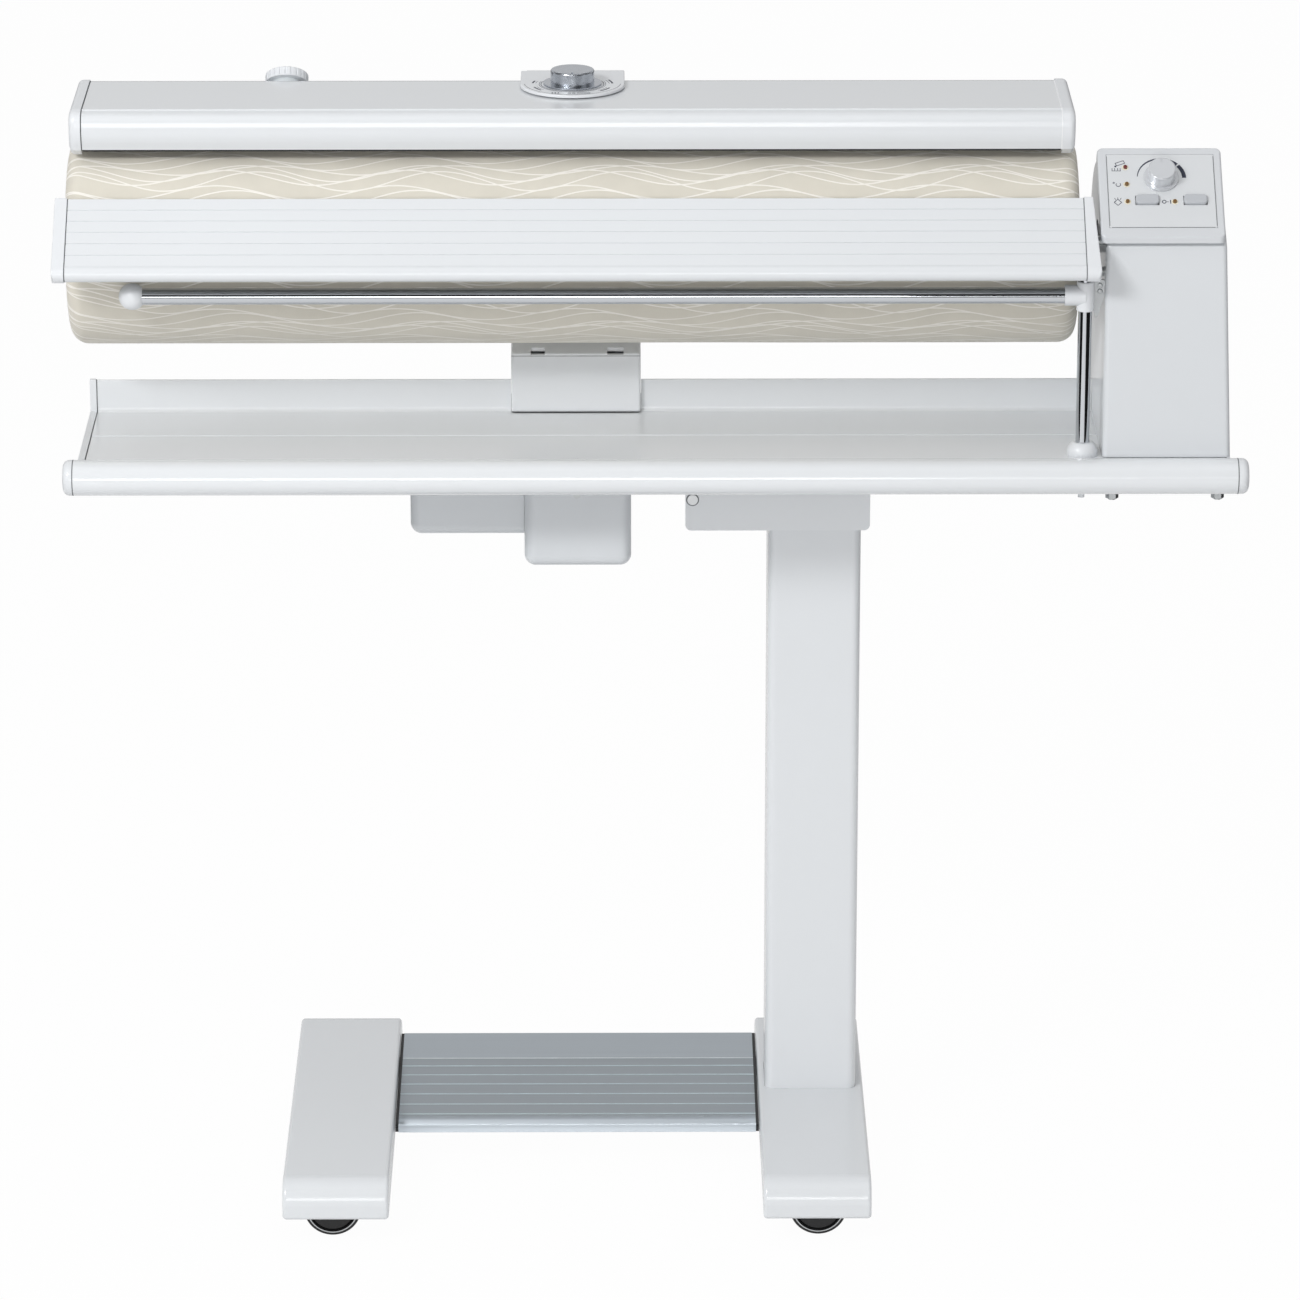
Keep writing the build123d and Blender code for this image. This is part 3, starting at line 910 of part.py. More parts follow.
def hanger():
    """The folded plate that holds the board to the control box, with a pointed front flange."""
    side = [(-97, 836), (-70, 852), (-46, 842), (-46, 800), (-74, 791), (HANGER_Y0, 791), (HANGER_Y0, 826)]
    solid = prism_x(side, HANGER_X, HANGER_X + SHEET, (3, 6, 6, 6, 0, 0, 3))
    flange = [(HANGER_X, 806), (BOX_X0, 806), (BOX_X0, 793), (363.4, 774.5), (361.6, 774.5), (HANGER_X, 793)]
    solid += prism_y(flange, HANGER_Y0, HANGER_Y0 + SHEET, (1, 1, 1, 0.6, 0.6, 1))
    for y, z in ((-58, 834), (-58, 808)):
        solid += rod_x(4.0, HANGER_X, BOX_X0, y, z)
    return solid


def make_feed_board():
    keep("feed_board", feed_board())
    left = feed_board_end(BOARD_END_X0, BOARD_X0, BOARD_END_X0, 4.0)
    right = feed_board_end(BOARD_X1, BOARD_END_X1, BOARD_END_X1 - 4.7, 5.0)
    beam = [board_point(*p) for p in ((-52, -BOARD_T), (-30, -BOARD_T), (-30, -12), (-52, -12))]
    hollow = [board_point(*p) for p in ((-50, -BOARD_T - 2), (-32, -BOARD_T - 2), (-32, -10), (-50, -10))]
    pocket = prism_x(beam, BOARD_X1 - 1, HANGER_X + 0.01)
    slot = block(HANGER_X, HANGER_X + SHEET + 0.2, -100, -40, 788, 866) & prism_x(
        [board_point(*p) for p in ((-2, -1.6), (-66, -1.6), (-66, -20), (-2, -20))], HANGER_X, HANGER_X + SHEET + 0.2)
    keep("feed_board_ends", left, right - pocket - slot)
    carrier = prism_x(beam, BOARD_X0 + 6, HANGER_X + 1) - prism_x(hollow, BOARD_X0 + 4, HANGER_X)
    keep("feed_board_carrier", carrier + hanger())


# ---------------------------------------------------------------- laundry rail
def rail_ball():
    """A ball with a flat where the bar enters it, turned about the bar's axis."""
    rim = math.sqrt(BALL_R ** 2 - BALL_FLAT ** 2)
    outline = [
        ThreePointArc((-BALL_R, 0), (0, BALL_R), (BALL_FLAT, rim)),
        Line((BALL_FLAT, rim), (BALL_FLAT, 0)),
        Line((BALL_FLAT, 0), (-BALL_R, 0)),
    ]
    face = make_face([edge for part in outline for edge in part.edges()])
    return Pos(BALL_X, RAIL_Y, RAIL_Z) * revolve(Plane.XY * face, Axis.X)


def rail_socket():
    """The white domed foot of the post, its sleeve through the tray and the stud below."""
    base = TRAY_FLOOR_Z - 0.6
    neck = POST_R + 1.6
    middle = (neck + (DOME_R - neck) * 0.76, DOME_H * 0.70)
    outline = [
        Line((0, 0), (DOME_R, 0)),
        Line((DOME_R, 0), (DOME_R, 2.5)),
        ThreePointArc((DOME_R, 2.5), middle, (neck, DOME_H)),
        Line((neck, DOME_H), (0, DOME_H)),
        Line((0, DOME_H), (0, 0)),
    ]
    face = make_face([edge for part in outline for edge in part.edges()])
    dome = Pos(RAIL_X, RAIL_Y, base) * revolve(Plane.XZ * face, Axis.Z)
    socket = dome + rod_z(SOCKET_R, RAIL_X, RAIL_Y, 628, base + 1) + rod_z(2.7, RAIL_X, RAIL_Y, 623.2, 629)
    return socket - rod_z(POST_R + RUNNING, RAIL_X, RAIL_Y, 631, base + 20)


def make_rail():
    """The chrome rail on its upright post, which swings out over the tray's front."""
    keep("rail_socket", rail_socket())
    keep("rail_post", rod_z(POST_R, RAIL_X, RAIL_Y, 631.5, RAIL_Z + 15))
    elbow = rod_z(7.2, RAIL_X, RAIL_Y, RAIL_Z - 13, RAIL_Z + 12)
    elbow = soften(elbow, 1.2, lambda e: e.geom_type == GeomType.CIRCLE)
    elbow += rod_x(8.5, RAIL_X - 17, RAIL_X, RAIL_Y, RAIL_Z)
    keep("rail_elbow", elbow - rod_z(POST_R, RAIL_X, RAIL_Y, RAIL_Z - 20, RAIL_Z + 20))
    keep("rail_bar", rod_x(BAR_R, BALL_X + BALL_FLAT, RAIL_X - 17, RAIL_Y, RAIL_Z))
    keep("rail_ball", rail_ball())


def build():
    make_stand()
    make_fold_lock()
    make_pedal()
    make_head()
    make_press_drive()
    make_shoe()
    make_tank()
    make_roller()
    make_control_box()
    make_feed_board()
    make_rail()


build()
os.makedirs("parts", exist_ok=True)
for name, solid in PARTS.items():
    export_step(solid, f"parts/{name}.step")
print(len(PARTS), "pieces")
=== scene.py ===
# %% [markdown]
# # Dressing a rotary flatwork ironer
# The machine is a heated shoe that presses on a padded roller, carried by a head that folds on a wheeled
# stand. Its construction comes ready made, so this lesson gives it its finishes, its cloth, its printed
# marks and its studio. The frame is loaded first, because every later piece is placed by what the frame
# says.

# %% Load the machine
import json
import math

import bmesh
import bpy
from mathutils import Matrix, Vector, noise


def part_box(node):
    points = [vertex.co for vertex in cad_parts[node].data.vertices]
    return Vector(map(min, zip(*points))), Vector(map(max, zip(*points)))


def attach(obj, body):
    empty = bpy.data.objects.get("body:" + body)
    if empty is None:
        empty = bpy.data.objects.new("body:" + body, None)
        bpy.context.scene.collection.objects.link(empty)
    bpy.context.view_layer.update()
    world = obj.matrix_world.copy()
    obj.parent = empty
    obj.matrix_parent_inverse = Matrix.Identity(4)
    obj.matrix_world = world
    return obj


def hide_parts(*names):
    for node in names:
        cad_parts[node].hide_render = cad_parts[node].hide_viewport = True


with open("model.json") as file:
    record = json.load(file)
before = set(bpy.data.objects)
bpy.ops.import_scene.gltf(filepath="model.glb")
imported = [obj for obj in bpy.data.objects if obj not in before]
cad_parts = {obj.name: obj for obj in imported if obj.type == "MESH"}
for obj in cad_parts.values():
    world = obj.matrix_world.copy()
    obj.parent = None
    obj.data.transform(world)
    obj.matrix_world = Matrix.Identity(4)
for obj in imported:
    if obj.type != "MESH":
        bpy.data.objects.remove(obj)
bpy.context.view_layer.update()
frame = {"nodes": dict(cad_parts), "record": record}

MM = 0.001
NODES = frame["nodes"]

# %% [markdown]
# ## The camera
# The picture was taken from more than five metres away with a long lens, a little above the machine,
# which keeps its long straight edges nearly parallel. A camera is two things: where the eye is and where
# it looks. The look is written as a pitch and a yaw, because those are what a photographer sets on a
# tripod head.

# %% Set up the camera
EYE = Vector((-0.0305, -5.2918, 2.2460))
PITCH_DOWN = math.radians(18.635)
YAW_RIGHT = math.radians(0.307)
LENS = 183.15
look = Vector((
    math.sin(YAW_RIGHT) * math.cos(PITCH_DOWN),
    math.cos(YAW_RIGHT) * math.cos(PITCH_DOWN),
    -math.sin(PITCH_DOWN),
))
camera = bpy.data.objects.new("camera", bpy.data.cameras.new("camera"))
camera.data.lens = LENS
camera.data.sensor_width = 36.0
camera.data.clip_end = 60.0
camera.location = EYE
camera.rotation_mode = "QUATERNION"
camera.rotation_quaternion = look.to_track_quat("-Z", "Y")
bpy.context.scene.collection.objects.link(camera)
bpy.context.scene.camera = camera
bpy.context.scene.view_settings.view_transform = "Standard"
print("camera looks along", [round(part, 3) for part in look])

# %% [markdown]
# ## Small helpers for shader nodes
# A material in Blender is a net of nodes. A few short helpers keep the net readable. The first adds a
# node and gives its inputs numbers or links; the next ones make the nodes that every finish needs, such
# as sums, noise and the place on the piece. The last two start a node group with named sockets and place
# it in a material. Groups hold the effects that several finishes share, such as the skin of a paint, so
# they are built once and reused.


# %% Define the node helpers
def add(tree, kind, inputs=None, **settings):
    """Add a shader node, set its properties and give its input sockets values or links."""
    made = tree.nodes.new(kind)
    for label, value in settings.items():
        setattr(made, label, value)
    for label, value in (inputs or {}).items():
        if isinstance(value, bpy.types.NodeSocket):
            tree.links.new(value, made.inputs[label])
        else:
            made.inputs[label].default_value = value
    return made


def math_node(tree, operation, first, second=0.0):
    """A math node whose inputs are numbers or sockets; gives back its result socket."""
    return add(tree, "ShaderNodeMath", {0: first, 1: second}, operation=operation).outputs[0]


def scaled(tree, colour, level):
    """A colour times a level that may change over the surface."""
    return add(tree, "ShaderNodeVectorMath", {0: colour, "Scale": level}, operation="SCALE").outputs[0]


def noise_node(tree, place, scale, detail):
    """Soft noise about 0.5; a higher scale makes it finer and more detail makes it rougher."""
    return add(tree, "ShaderNodeTexNoise", {"Vector": place, "Scale": scale, "Detail": detail}).outputs["Fac"]


def place_on_piece(tree):
    """Where the shaded point lies, in metres along the axes of the machine."""
    return add(tree, "ShaderNodeTexCoord").outputs["Object"]


def split_axes(tree, vector):
    """The X, Y and Z of a vector as sockets of their own."""
    return add(tree, "ShaderNodeSeparateXYZ", {0: vector}).outputs


def start_group(name, inputs, outputs):
    """A new node group with named sockets; gives back the tree, its input node and its output node."""
    tree = bpy.data.node_groups.new(name, "ShaderNodeTree")
    for label, (kind, value) in inputs.items():
        socket = tree.interface.new_socket(label, in_out="INPUT", socket_type="NodeSocket" + kind)
        socket.default_value = value
    for label, kind in outputs.items():
        tree.interface.new_socket(label, in_out="OUTPUT", socket_type="NodeSocket" + kind)
    return tree, add(tree, "NodeGroupInput"), add(tree, "NodeGroupOutput")


def use_group(tree, group, **inputs):
    """Place a shared group in a material, with its own values."""
    made = add(tree, "ShaderNodeGroup", node_tree=group)
    for label, value in inputs.items():
        socket = made.inputs[label.replace("_", " ")]
        if isinstance(value, bpy.types.NodeSocket):
            tree.links.new(value, socket)
        else:
            socket.default_value = value
    return made


print("node helpers ready")

# %% [markdown]
# ## The skin of paint and moulded plastic
# Stoved enamel is never perfectly flat: it dries with a soft ripple called orange peel, and its tone
# drifts by one or two parts in a hundred over a long panel. Moulded plastic has a finer, sharper grain
# from the mould. Both are noise at a real size, so one group serves both: it takes the colour, the size
# of the grain and how much the tone drifts, and gives back a colour, a roughness and a height for the
# bump.


# %% Build the surface skin group
TONE_SCALE = 6.0          # patches of tone, about 170 mm wide
GLOSS_SCALE = 22.0        # patches of gloss, about 45 mm wide


def build_surface_skin():
    tree, given, result = start_group(
        "surface_skin",
        {"Colour": ("Color", (0.8, 0.8, 0.8, 1)), "Drift": ("Float", 0.02), "Grain mm": ("Float", 1.2),
         "Gloss": ("Float", 0.3), "Gloss drift": ("Float", 0.05)},
        {"Colour": "Color", "Roughness": "Float", "Height": "Float"},
    )
    place = place_on_piece(tree)
    broad = math_node(tree, "SUBTRACT", noise_node(tree, place, TONE_SCALE, 3.0), 0.5)
    swing = math_node(tree, "MULTIPLY", broad, given.outputs["Drift"])
    tinted = scaled(tree, given.outputs["Colour"], math_node(tree, "ADD", swing, 1.0))
    grain_scale = math_node(tree, "DIVIDE", 1 / MM, given.outputs["Grain mm"])
    patches = math_node(tree, "SUBTRACT", noise_node(tree, place, GLOSS_SCALE, 4.0), 0.5)
    rough_swing = math_node(tree, "MULTIPLY", patches, given.outputs["Gloss drift"])
    rough = math_node(tree, "ADD", given.outputs["Gloss"], rough_swing)
    tree.links.new(tinted, result.inputs["Colour"])
    tree.links.new(rough, result.inputs["Roughness"])
    tree.links.new(noise_node(tree, place, grain_scale, 2.0), result.inputs["Height"])
    return tree


SURFACE_SKIN = build_surface_skin()
print("group", SURFACE_SKIN.name, "has", len(SURFACE_SKIN.nodes), "nodes")

# %% [markdown]
# ## Drawn, turned and ground metal
# Metal shows how it was worked. An extruded bar is drawn through a die and has hair-fine streaks along
# its length; a turned part has rings about its axis; a ground part has short scratches. All three are
# noise that is stretched along one direction, so the group takes a stretch for each axis and gives back a
# tone, a roughness and a height.


# %% Build the worked metal group
def build_worked_metal():
    tree, given, result = start_group(
        "worked_metal",
        {"Colour": ("Color", (0.6, 0.6, 0.6, 1)), "Stretch": ("Vector", (1, 1, 1)),
         "Contrast": ("Float", 0.1), "Gloss": ("Float", 0.3), "Gloss drift": ("Float", 0.1)},
        {"Colour": "Color", "Roughness": "Float", "Height": "Float"},
    )
    pulled = add(tree, "ShaderNodeVectorMath", {0: place_on_piece(tree), 1: given.outputs["Stretch"]},
                 operation="MULTIPLY")
    streaks = noise_node(tree, pulled.outputs[0], 1.0, 5.0)
    centred = math_node(tree, "SUBTRACT", streaks, 0.5)
    swing = math_node(tree, "MULTIPLY", centred, given.outputs["Contrast"])
    tinted = scaled(tree, given.outputs["Colour"], math_node(tree, "ADD", swing, 1.0))
    rough_swing = math_node(tree, "MULTIPLY", centred, given.outputs["Gloss drift"])
    rough = math_node(tree, "ADD", given.outputs["Gloss"], rough_swing)
    tree.links.new(tinted, result.inputs["Colour"])
    tree.links.new(rough, result.inputs["Roughness"])
    tree.links.new(streaks, result.inputs["Height"])
    return tree


WORKED_METAL = build_worked_metal()
print("group", WORKED_METAL.name, "has", len(WORKED_METAL.nodes), "nodes")

# %% [markdown]
# ## From groups to finishes
# A finish is one Principled shader fed by a group. The shader itself stays in the material. Values that
# are the same all over, such as the clear coat's roughness, are typed straight into the shader's sockets.


# %% Define the finish makers
PAINT_GLOSS_DRIFT = 0.015
COAT_ROUGHNESS = 0.12


def start_finish(name):
    """A new material with one Principled shader; gives back the material, its tree and the shader."""
    made = bpy.data.materials.new(name)
    made.use_nodes = True
    made.node_tree.nodes.clear()
    tree = made.node_tree
    shader = add(tree, "ShaderNodeBsdfPrincipled")
    add(tree, "ShaderNodeOutputMaterial", {"Surface": shader.outputs[0]})
    return made, tree, shader


def bump(tree, shader, height, depth_mm, strength=0.5):
    """Let a height map lean the shader's normal."""
    bent = add(tree, "ShaderNodeBump", {"Height": height, "Strength": strength, "Distance": depth_mm * MM})
    tree.links.new(bent.outputs[0], shader.inputs["Normal"])


def coated(name, colour, gloss, coat=0.0, grain_mm=1.2, drift=0.02, depth_mm=0.02, metallic=0.0):
    """Paint or plastic: the surface skin group on a Principled shader, with an optional clear coat."""
    made, tree, shader = start_finish(name)
    skin = use_group(tree, SURFACE_SKIN, Colour=(*colour, 1), Gloss=gloss, Grain_mm=grain_mm, Drift=drift,
                     Gloss_drift=PAINT_GLOSS_DRIFT)
    tree.links.new(skin.outputs["Colour"], shader.inputs["Base Color"])
    tree.links.new(skin.outputs["Roughness"], shader.inputs["Roughness"])
    shader.inputs["Metallic"].default_value = metallic
    shader.inputs["Coat Weight"].default_value = coat
    shader.inputs["Coat Roughness"].default_value = COAT_ROUGHNESS
    bump(tree, shader, skin.outputs["Height"], depth_mm)
    return made


def worked(name, colour, gloss, stretch, contrast=0.12, gloss_drift=0.12, depth_mm=0.01):
    """Bare metal: the worked metal group on a fully metallic shader."""
    made, tree, shader = start_finish(name)
    skin = use_group(tree, WORKED_METAL, Colour=(*colour, 1), Gloss=gloss, Stretch=stretch, Contrast=contrast,
                     Gloss_drift=gloss_drift)
    tree.links.new(skin.outputs["Colour"], shader.inputs["Base Color"])
    tree.links.new(skin.outputs["Roughness"], shader.inputs["Roughness"])
    shader.inputs["Metallic"].default_value = 1.0
    bump(tree, shader, skin.outputs["Height"], depth_mm)
    return made


print("finish makers ready")

# %% [markdown]
# ## White enamel, white mouldings and the grey family
# The sheet parts of such a machine are enamelled and the small housings are moulded, and the whites never
# match exactly: the mouldings are duller, and the tray is glossier because laundry has to slide over it.
# The control box and its cap are a shade greyer, and this greyness is painted shade for the shade that
# lies over their tops. Keeping them as finishes of their own is what makes the seams between a panel and
# its end cap believable. Each line gives the colour, the roughness and what differs from a plain paint.

# %% Mix the paints and plastics
ENAMEL = coated("white_enamel", (0.750, 0.772, 0.795), 0.26, coat=0.5)
TRAY_ENAMEL = coated("white_enamel_tray", (0.785, 0.807, 0.830), 0.20, coat=0.7)
MOULDED_WHITE = coated("white_plastic", (0.765, 0.785, 0.810), 0.36, coat=0.2, grain_mm=0.5, depth_mm=0.015)
# The box and its cap are darker copies of the white finishes: painted shade.
SHADED_BOX_ENAMEL = coated("white_enamel_box_painted_shade", (0.705, 0.728, 0.752), 0.28, coat=0.4)
SHADED_CAP_WHITE = coated("white_plastic_cap_painted_shade", (0.655, 0.675, 0.70), 0.36, coat=0.2, grain_mm=0.5, depth_mm=0.015)
# A near white that is the hinge pin's own paint and also the painted highlight on the hood's right end cap.
PIN_WHITE_AND_HIGHLIGHT = coated("pin_white_and_painted_highlight", (0.92, 0.93, 0.94), 0.25, coat=0.5, grain_mm=0.5)
DIAL_SILVER = coated("dial_silver", (0.70, 0.72, 0.75), 0.22, coat=0.6, grain_mm=0.3, metallic=0.35)
DARK_RUBBER = coated("black_plastic", (0.012, 0.012, 0.013), 0.42, grain_mm=0.8, drift=0.2, depth_mm=0.03)
GREY_PLASTIC = coated("grey_plastic", (0.50, 0.52, 0.55), 0.30, coat=0.3, grain_mm=0.5)
LIGHT_GREY = coated("light_grey", (0.66, 0.685, 0.71), 0.30, coat=0.35, grain_mm=0.6)
PANEL_GREY = coated("panel_grey", (0.72, 0.74, 0.76), 0.34, coat=0.15, grain_mm=0.35, metallic=0.1)
DARK_PLASTIC = coated("dark_plastic", (0.05, 0.052, 0.056), 0.45, grain_mm=0.6, drift=0.1)
TANK_PLASTIC = coated("tank_plastic", (0.70, 0.74, 0.76), 0.3, coat=0.2, grain_mm=0.8)
MOTOR_PAINT = coated("motor_paint", (0.09, 0.10, 0.11), 0.5, grain_mm=1.0, drift=0.1, depth_mm=0.04)
PRINT_INK = coated("print_ink", (0.035, 0.04, 0.07), 0.55, grain_mm=0.3, drift=0.15)
SEAM_SHADOW = coated("seam_shadow", (0.16, 0.17, 0.18), 0.7, grain_mm=0.5, drift=0.15)
print(len(bpy.data.materials), "finishes so far")

# %% [markdown]
# ## Bare metals and the chrome of the rail
# Hardly any part of the inside is painted: brackets are zinc plated, shafts are ground, the roller core
# and the shoe are aluminium. The three numbers of the stretch say how fine the marks of working are along
# X, Y and Z, so a small number is the direction in which the metal was drawn. Chrome has almost no marks
# and shows the room.

# %% Mix the metals
ALUMINIUM = worked("satin_aluminium", (0.50, 0.53, 0.57), 0.42, (3, 900, 900))
POLISHED = worked("polished_aluminium", (0.78, 0.79, 0.80), 0.16, (40, 700, 700), contrast=0.06)
ZINC = worked("zinc_steel", (0.60, 0.62, 0.63), 0.34, (90, 90, 90), contrast=0.25)
GROUND = worked("ground_steel", (0.56, 0.57, 0.58), 0.26, (30, 500, 500), contrast=0.1)
CHROME = worked("chrome", (0.62, 0.64, 0.67), 0.05, (300, 300, 300), contrast=0.02, gloss_drift=0.02,
                depth_mm=0.0)
SILVER = worked("silver_plastic", (0.58, 0.61, 0.66), 0.24, (200, 200, 1600), contrast=0.25)
print(len(bpy.data.materials), "finishes so far")

# %% [markdown]
# ## Lamps and circuit board
# The four lamps are tinted plastic pins. The top one is red and the others amber, all in one node, so the
# colour is chosen by height. The circuit board is green lacquer over copper tracks, which a brick pattern
# draws.


# %% Mix the lamp and board finishes
RED_LAMP_HEIGHT = 6 * MM      # the red lamp is all that lies within this of the top of the four


def lamp_finish():
    made, tree, shader = start_finish("lens")
    height = split_axes(tree, place_on_piece(tree))["Z"]
    is_red = math_node(tree, "GREATER_THAN", height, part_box("led_lenses")[1].z - RED_LAMP_HEIGHT)
    tint = add(tree, "ShaderNodeMix", {0: is_red, 6: (0.16, 0.075, 0.012, 1), 7: (0.14, 0.012, 0.015, 1)},
               data_type="RGBA")
    tree.links.new(tint.outputs[2], shader.inputs["Base Color"])
    shader.inputs["Roughness"].default_value = 0.12
    shader.inputs["Coat Weight"].default_value = 0.8
    shader.inputs["Coat Roughness"].default_value = 0.05
    return made


def board_finish():
    made, tree, shader = start_finish("circuit")
    tracks = add(tree, "ShaderNodeTexBrick", {
        "Vector": place_on_piece(tree), "Scale": 60.0, "Color1": (0.01, 0.10, 0.04, 1),
        "Color2": (0.015, 0.13, 0.05, 1), "Mortar": (0.20, 0.14, 0.04, 1), "Mortar Size": 0.03})
    tree.links.new(tracks.outputs[0], shader.inputs["Base Color"])
    shader.inputs["Roughness"].default_value = 0.35
    bump(tree, shader, tracks.outputs["Fac"], 0.1)
    return made


LAMP = lamp_finish()
BOARD = board_finish()
print(LAMP.name, "and", BOARD.name, "are mixed")

# %% [markdown]
# ## The grooved profile of the foot bar
# The foot bar is one extruded profile, anodised dark, with seven shallow grooves across its whole width.
# The grooves' flanks catch the light, and the finish paints this as highlights: it lightens a narrow band
# at the place of each. The strip behind the first groove is paler. The front edge is rolled down and
# catches the light: there the colour lightens as a painted highlight, and the normal leans forward, as if
# the surface fell away along a parabola. The grooves are also there as shape, but from five metres away
# they are finer than one pixel of the picture.

# %% Measure the foot bar's pattern
PEDAL_GROOVES = (107.5, 92.3, 74.6, 56.4, 37.0, 17.1, -2.0)      # their Y in mm, from the back to the front
PEDAL_GROOVE_HALF = 0.9 * MM
PEDAL_ROLL_Y = -4.0 * MM                                         # where the rolled front starts
PEDAL_ROLL_R = 13.0 * MM
PEDAL_ROLL_HIGHLIGHT_Y0, PEDAL_ROLL_HIGHLIGHT_Y1 = -5.0 * MM, -14.0 * MM             # where it starts and ends to lighten
# The grooves and the rolled front are lightened as painted highlights; the strip behind the grooves is paler.
GROOVE_HIGHLIGHT, STRIP_LIFT, ROLL_HIGHLIGHT = 0.80, 0.24, 0.50            # how much lighter than the plain profile
print("the foot bar has", len(PEDAL_GROOVES), "grooves")


# %% Mix the foot bar's finish
def groove_mask(tree, depth):
    """1 in the grooves and 0 between them, from the Y of the shaded point."""
    mask = 0.0
    for groove in PEDAL_GROOVES:
        near = add(tree, "ShaderNodeMath", {0: depth, 1: groove * MM, 2: PEDAL_GROOVE_HALF},
                   operation="COMPARE").outputs[0]
        mask = math_node(tree, "MAXIMUM", mask, near)
    return mask


def pedal_level(tree, depth):
    """How much lighter than the plain profile the shaded point is, with painted highlights in it."""
    grooves = groove_mask(tree, depth)
    strip = math_node(tree, "GREATER_THAN", depth, PEDAL_GROOVES[0] * MM)
    roll = add(tree, "ShaderNodeMapRange",
               {"Value": depth, 1: PEDAL_ROLL_HIGHLIGHT_Y0, 2: PEDAL_ROLL_HIGHLIGHT_Y1, 3: 0.0, 4: 1.0}).outputs[0]
    level = 1.0
    for mask, lift in ((grooves, GROOVE_HIGHLIGHT), (strip, STRIP_LIFT), (roll, ROLL_HIGHLIGHT)):
        level = math_node(tree, "ADD", level, math_node(tree, "MULTIPLY", mask, lift))
    return level


def pedal_finish():
    made, tree, shader = start_finish("pedal_aluminium")
    skin = use_group(tree, WORKED_METAL, Colour=(0.50, 0.545, 0.585, 1), Gloss=0.40, Stretch=(3, 900, 900))
    depth = split_axes(tree, place_on_piece(tree))["Y"]
    # Painted highlights on the grooves and the rolled front, and the paler back strip, lighten the colour
    # here.
    tone = scaled(tree, skin.outputs["Colour"], pedal_level(tree, depth))
    tree.links.new(tone, shader.inputs["Base Color"])
    tree.links.new(skin.outputs["Roughness"], shader.inputs["Roughness"])
    shader.inputs["Metallic"].default_value = 0.85
    reach = math_node(tree, "MAXIMUM", 0.0, math_node(tree, "SUBTRACT", PEDAL_ROLL_Y, depth))
    fall = math_node(tree, "DIVIDE", math_node(tree, "MULTIPLY", reach, reach), -2 * PEDAL_ROLL_R)
    rolled = add(tree, "ShaderNodeBump", {"Height": fall, "Strength": 1.0, "Distance": 1.0})
    tree.links.new(rolled.outputs[0], shader.inputs["Normal"])
    return made


PEDAL = pedal_finish()
print(len(bpy.data.materials), "finishes in all")

# %% [markdown]
# ## Which piece gets which finish
# The frame already says which slot each node takes its finish from. Giving every slot one finish dresses
# the whole machine at once, and a few pieces then get a finish of their own, such as the tray and the
# foot bar.

# %% Dress the frame
BY_SLOT = {
    "white_enamel": ENAMEL, "white_plastic": MOULDED_WHITE, "satin_aluminium": ALUMINIUM,
    "polished_aluminium": POLISHED, "zinc_steel": ZINC, "ground_steel": GROUND, "chrome": CHROME,
    "black_plastic": DARK_RUBBER, "silver_plastic": SILVER, "grey_plastic": GREY_PLASTIC,
    "panel_grey": PANEL_GREY, "lens": LAMP, "motor_paint": MOTOR_PAINT, "circuit": BOARD,
    "light_grey_plastic": LIGHT_GREY, "light_grey_enamel": TRAY_ENAMEL, "tank_plastic": TANK_PLASTIC,
    "dark_plastic": DARK_PLASTIC, "roller_cloth": MOULDED_WHITE,
}
OWN_FINISH = {
    "pedal_bar": PEDAL, "tray": TRAY_ENAMEL, "control_box": SHADED_BOX_ENAMEL, "panel_cap": SHADED_CAP_WHITE,
    "arm_housing": TRAY_ENAMEL, "speed_dial": DIAL_SILVER, "hinge_pin": PIN_WHITE_AND_HIGHLIGHT,
}


def paint(piece, finish):
    """Give a piece one finish."""
    piece.data.materials.clear()
    piece.data.materials.append(finish)


SLOT_OF = {part["node"]: part["material_slot"] for part in frame["record"]["subparts"]}
for name, piece in NODES.items():
    paint(piece, OWN_FINISH.get(name) or BY_SLOT[SLOT_OF[name]])
print("dressed", len(NODES), "nodes from", len(BY_SLOT), "slots")

# %% [markdown]
# ## Making new pieces
# Everything that the frame doesn't hold, such as the cloth, the printed marks and the seams, is made as
# its own mesh and then told which body it rides on. One helper does the last steps for all of them.


# %% Define how a new piece joins the machine
def join_machine(name, mesh_data, finish, body):
    """Turn a bmesh into a named piece that rides on a body and has a finish."""
    mesh = bpy.data.meshes.new(name)
    mesh_data.to_mesh(mesh)
    mesh_data.free()
    mesh.materials.append(finish)
    piece = bpy.data.objects.new(name, mesh)
    bpy.context.scene.collection.objects.link(piece)
    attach(piece, body)
    return piece


def smooth(piece, angle=40.0):
    """Shade a piece smooth, with edges sharper than the angle kept crisp."""
    piece.data.shade_smooth()
    piece.data.set_sharp_from_angle(angle=math.radians(angle))


print("helpers for new pieces ready")

# %% [markdown]
# ## The woven wave pattern of the roller cloth
# An ironing roller wears a sleeve of cotton cloth over springy padding. The cloth here is a warm grey
# plain weave with thin cream threads that wander along it in long crossing waves. The waves are lines on
# an unrolled sheet: one coordinate runs along the roller and one round it. A thread is where the distance
# to a sine curve is small. Several families of threads, each with its own swing and phase, cross each
# other and repeat round the roller.


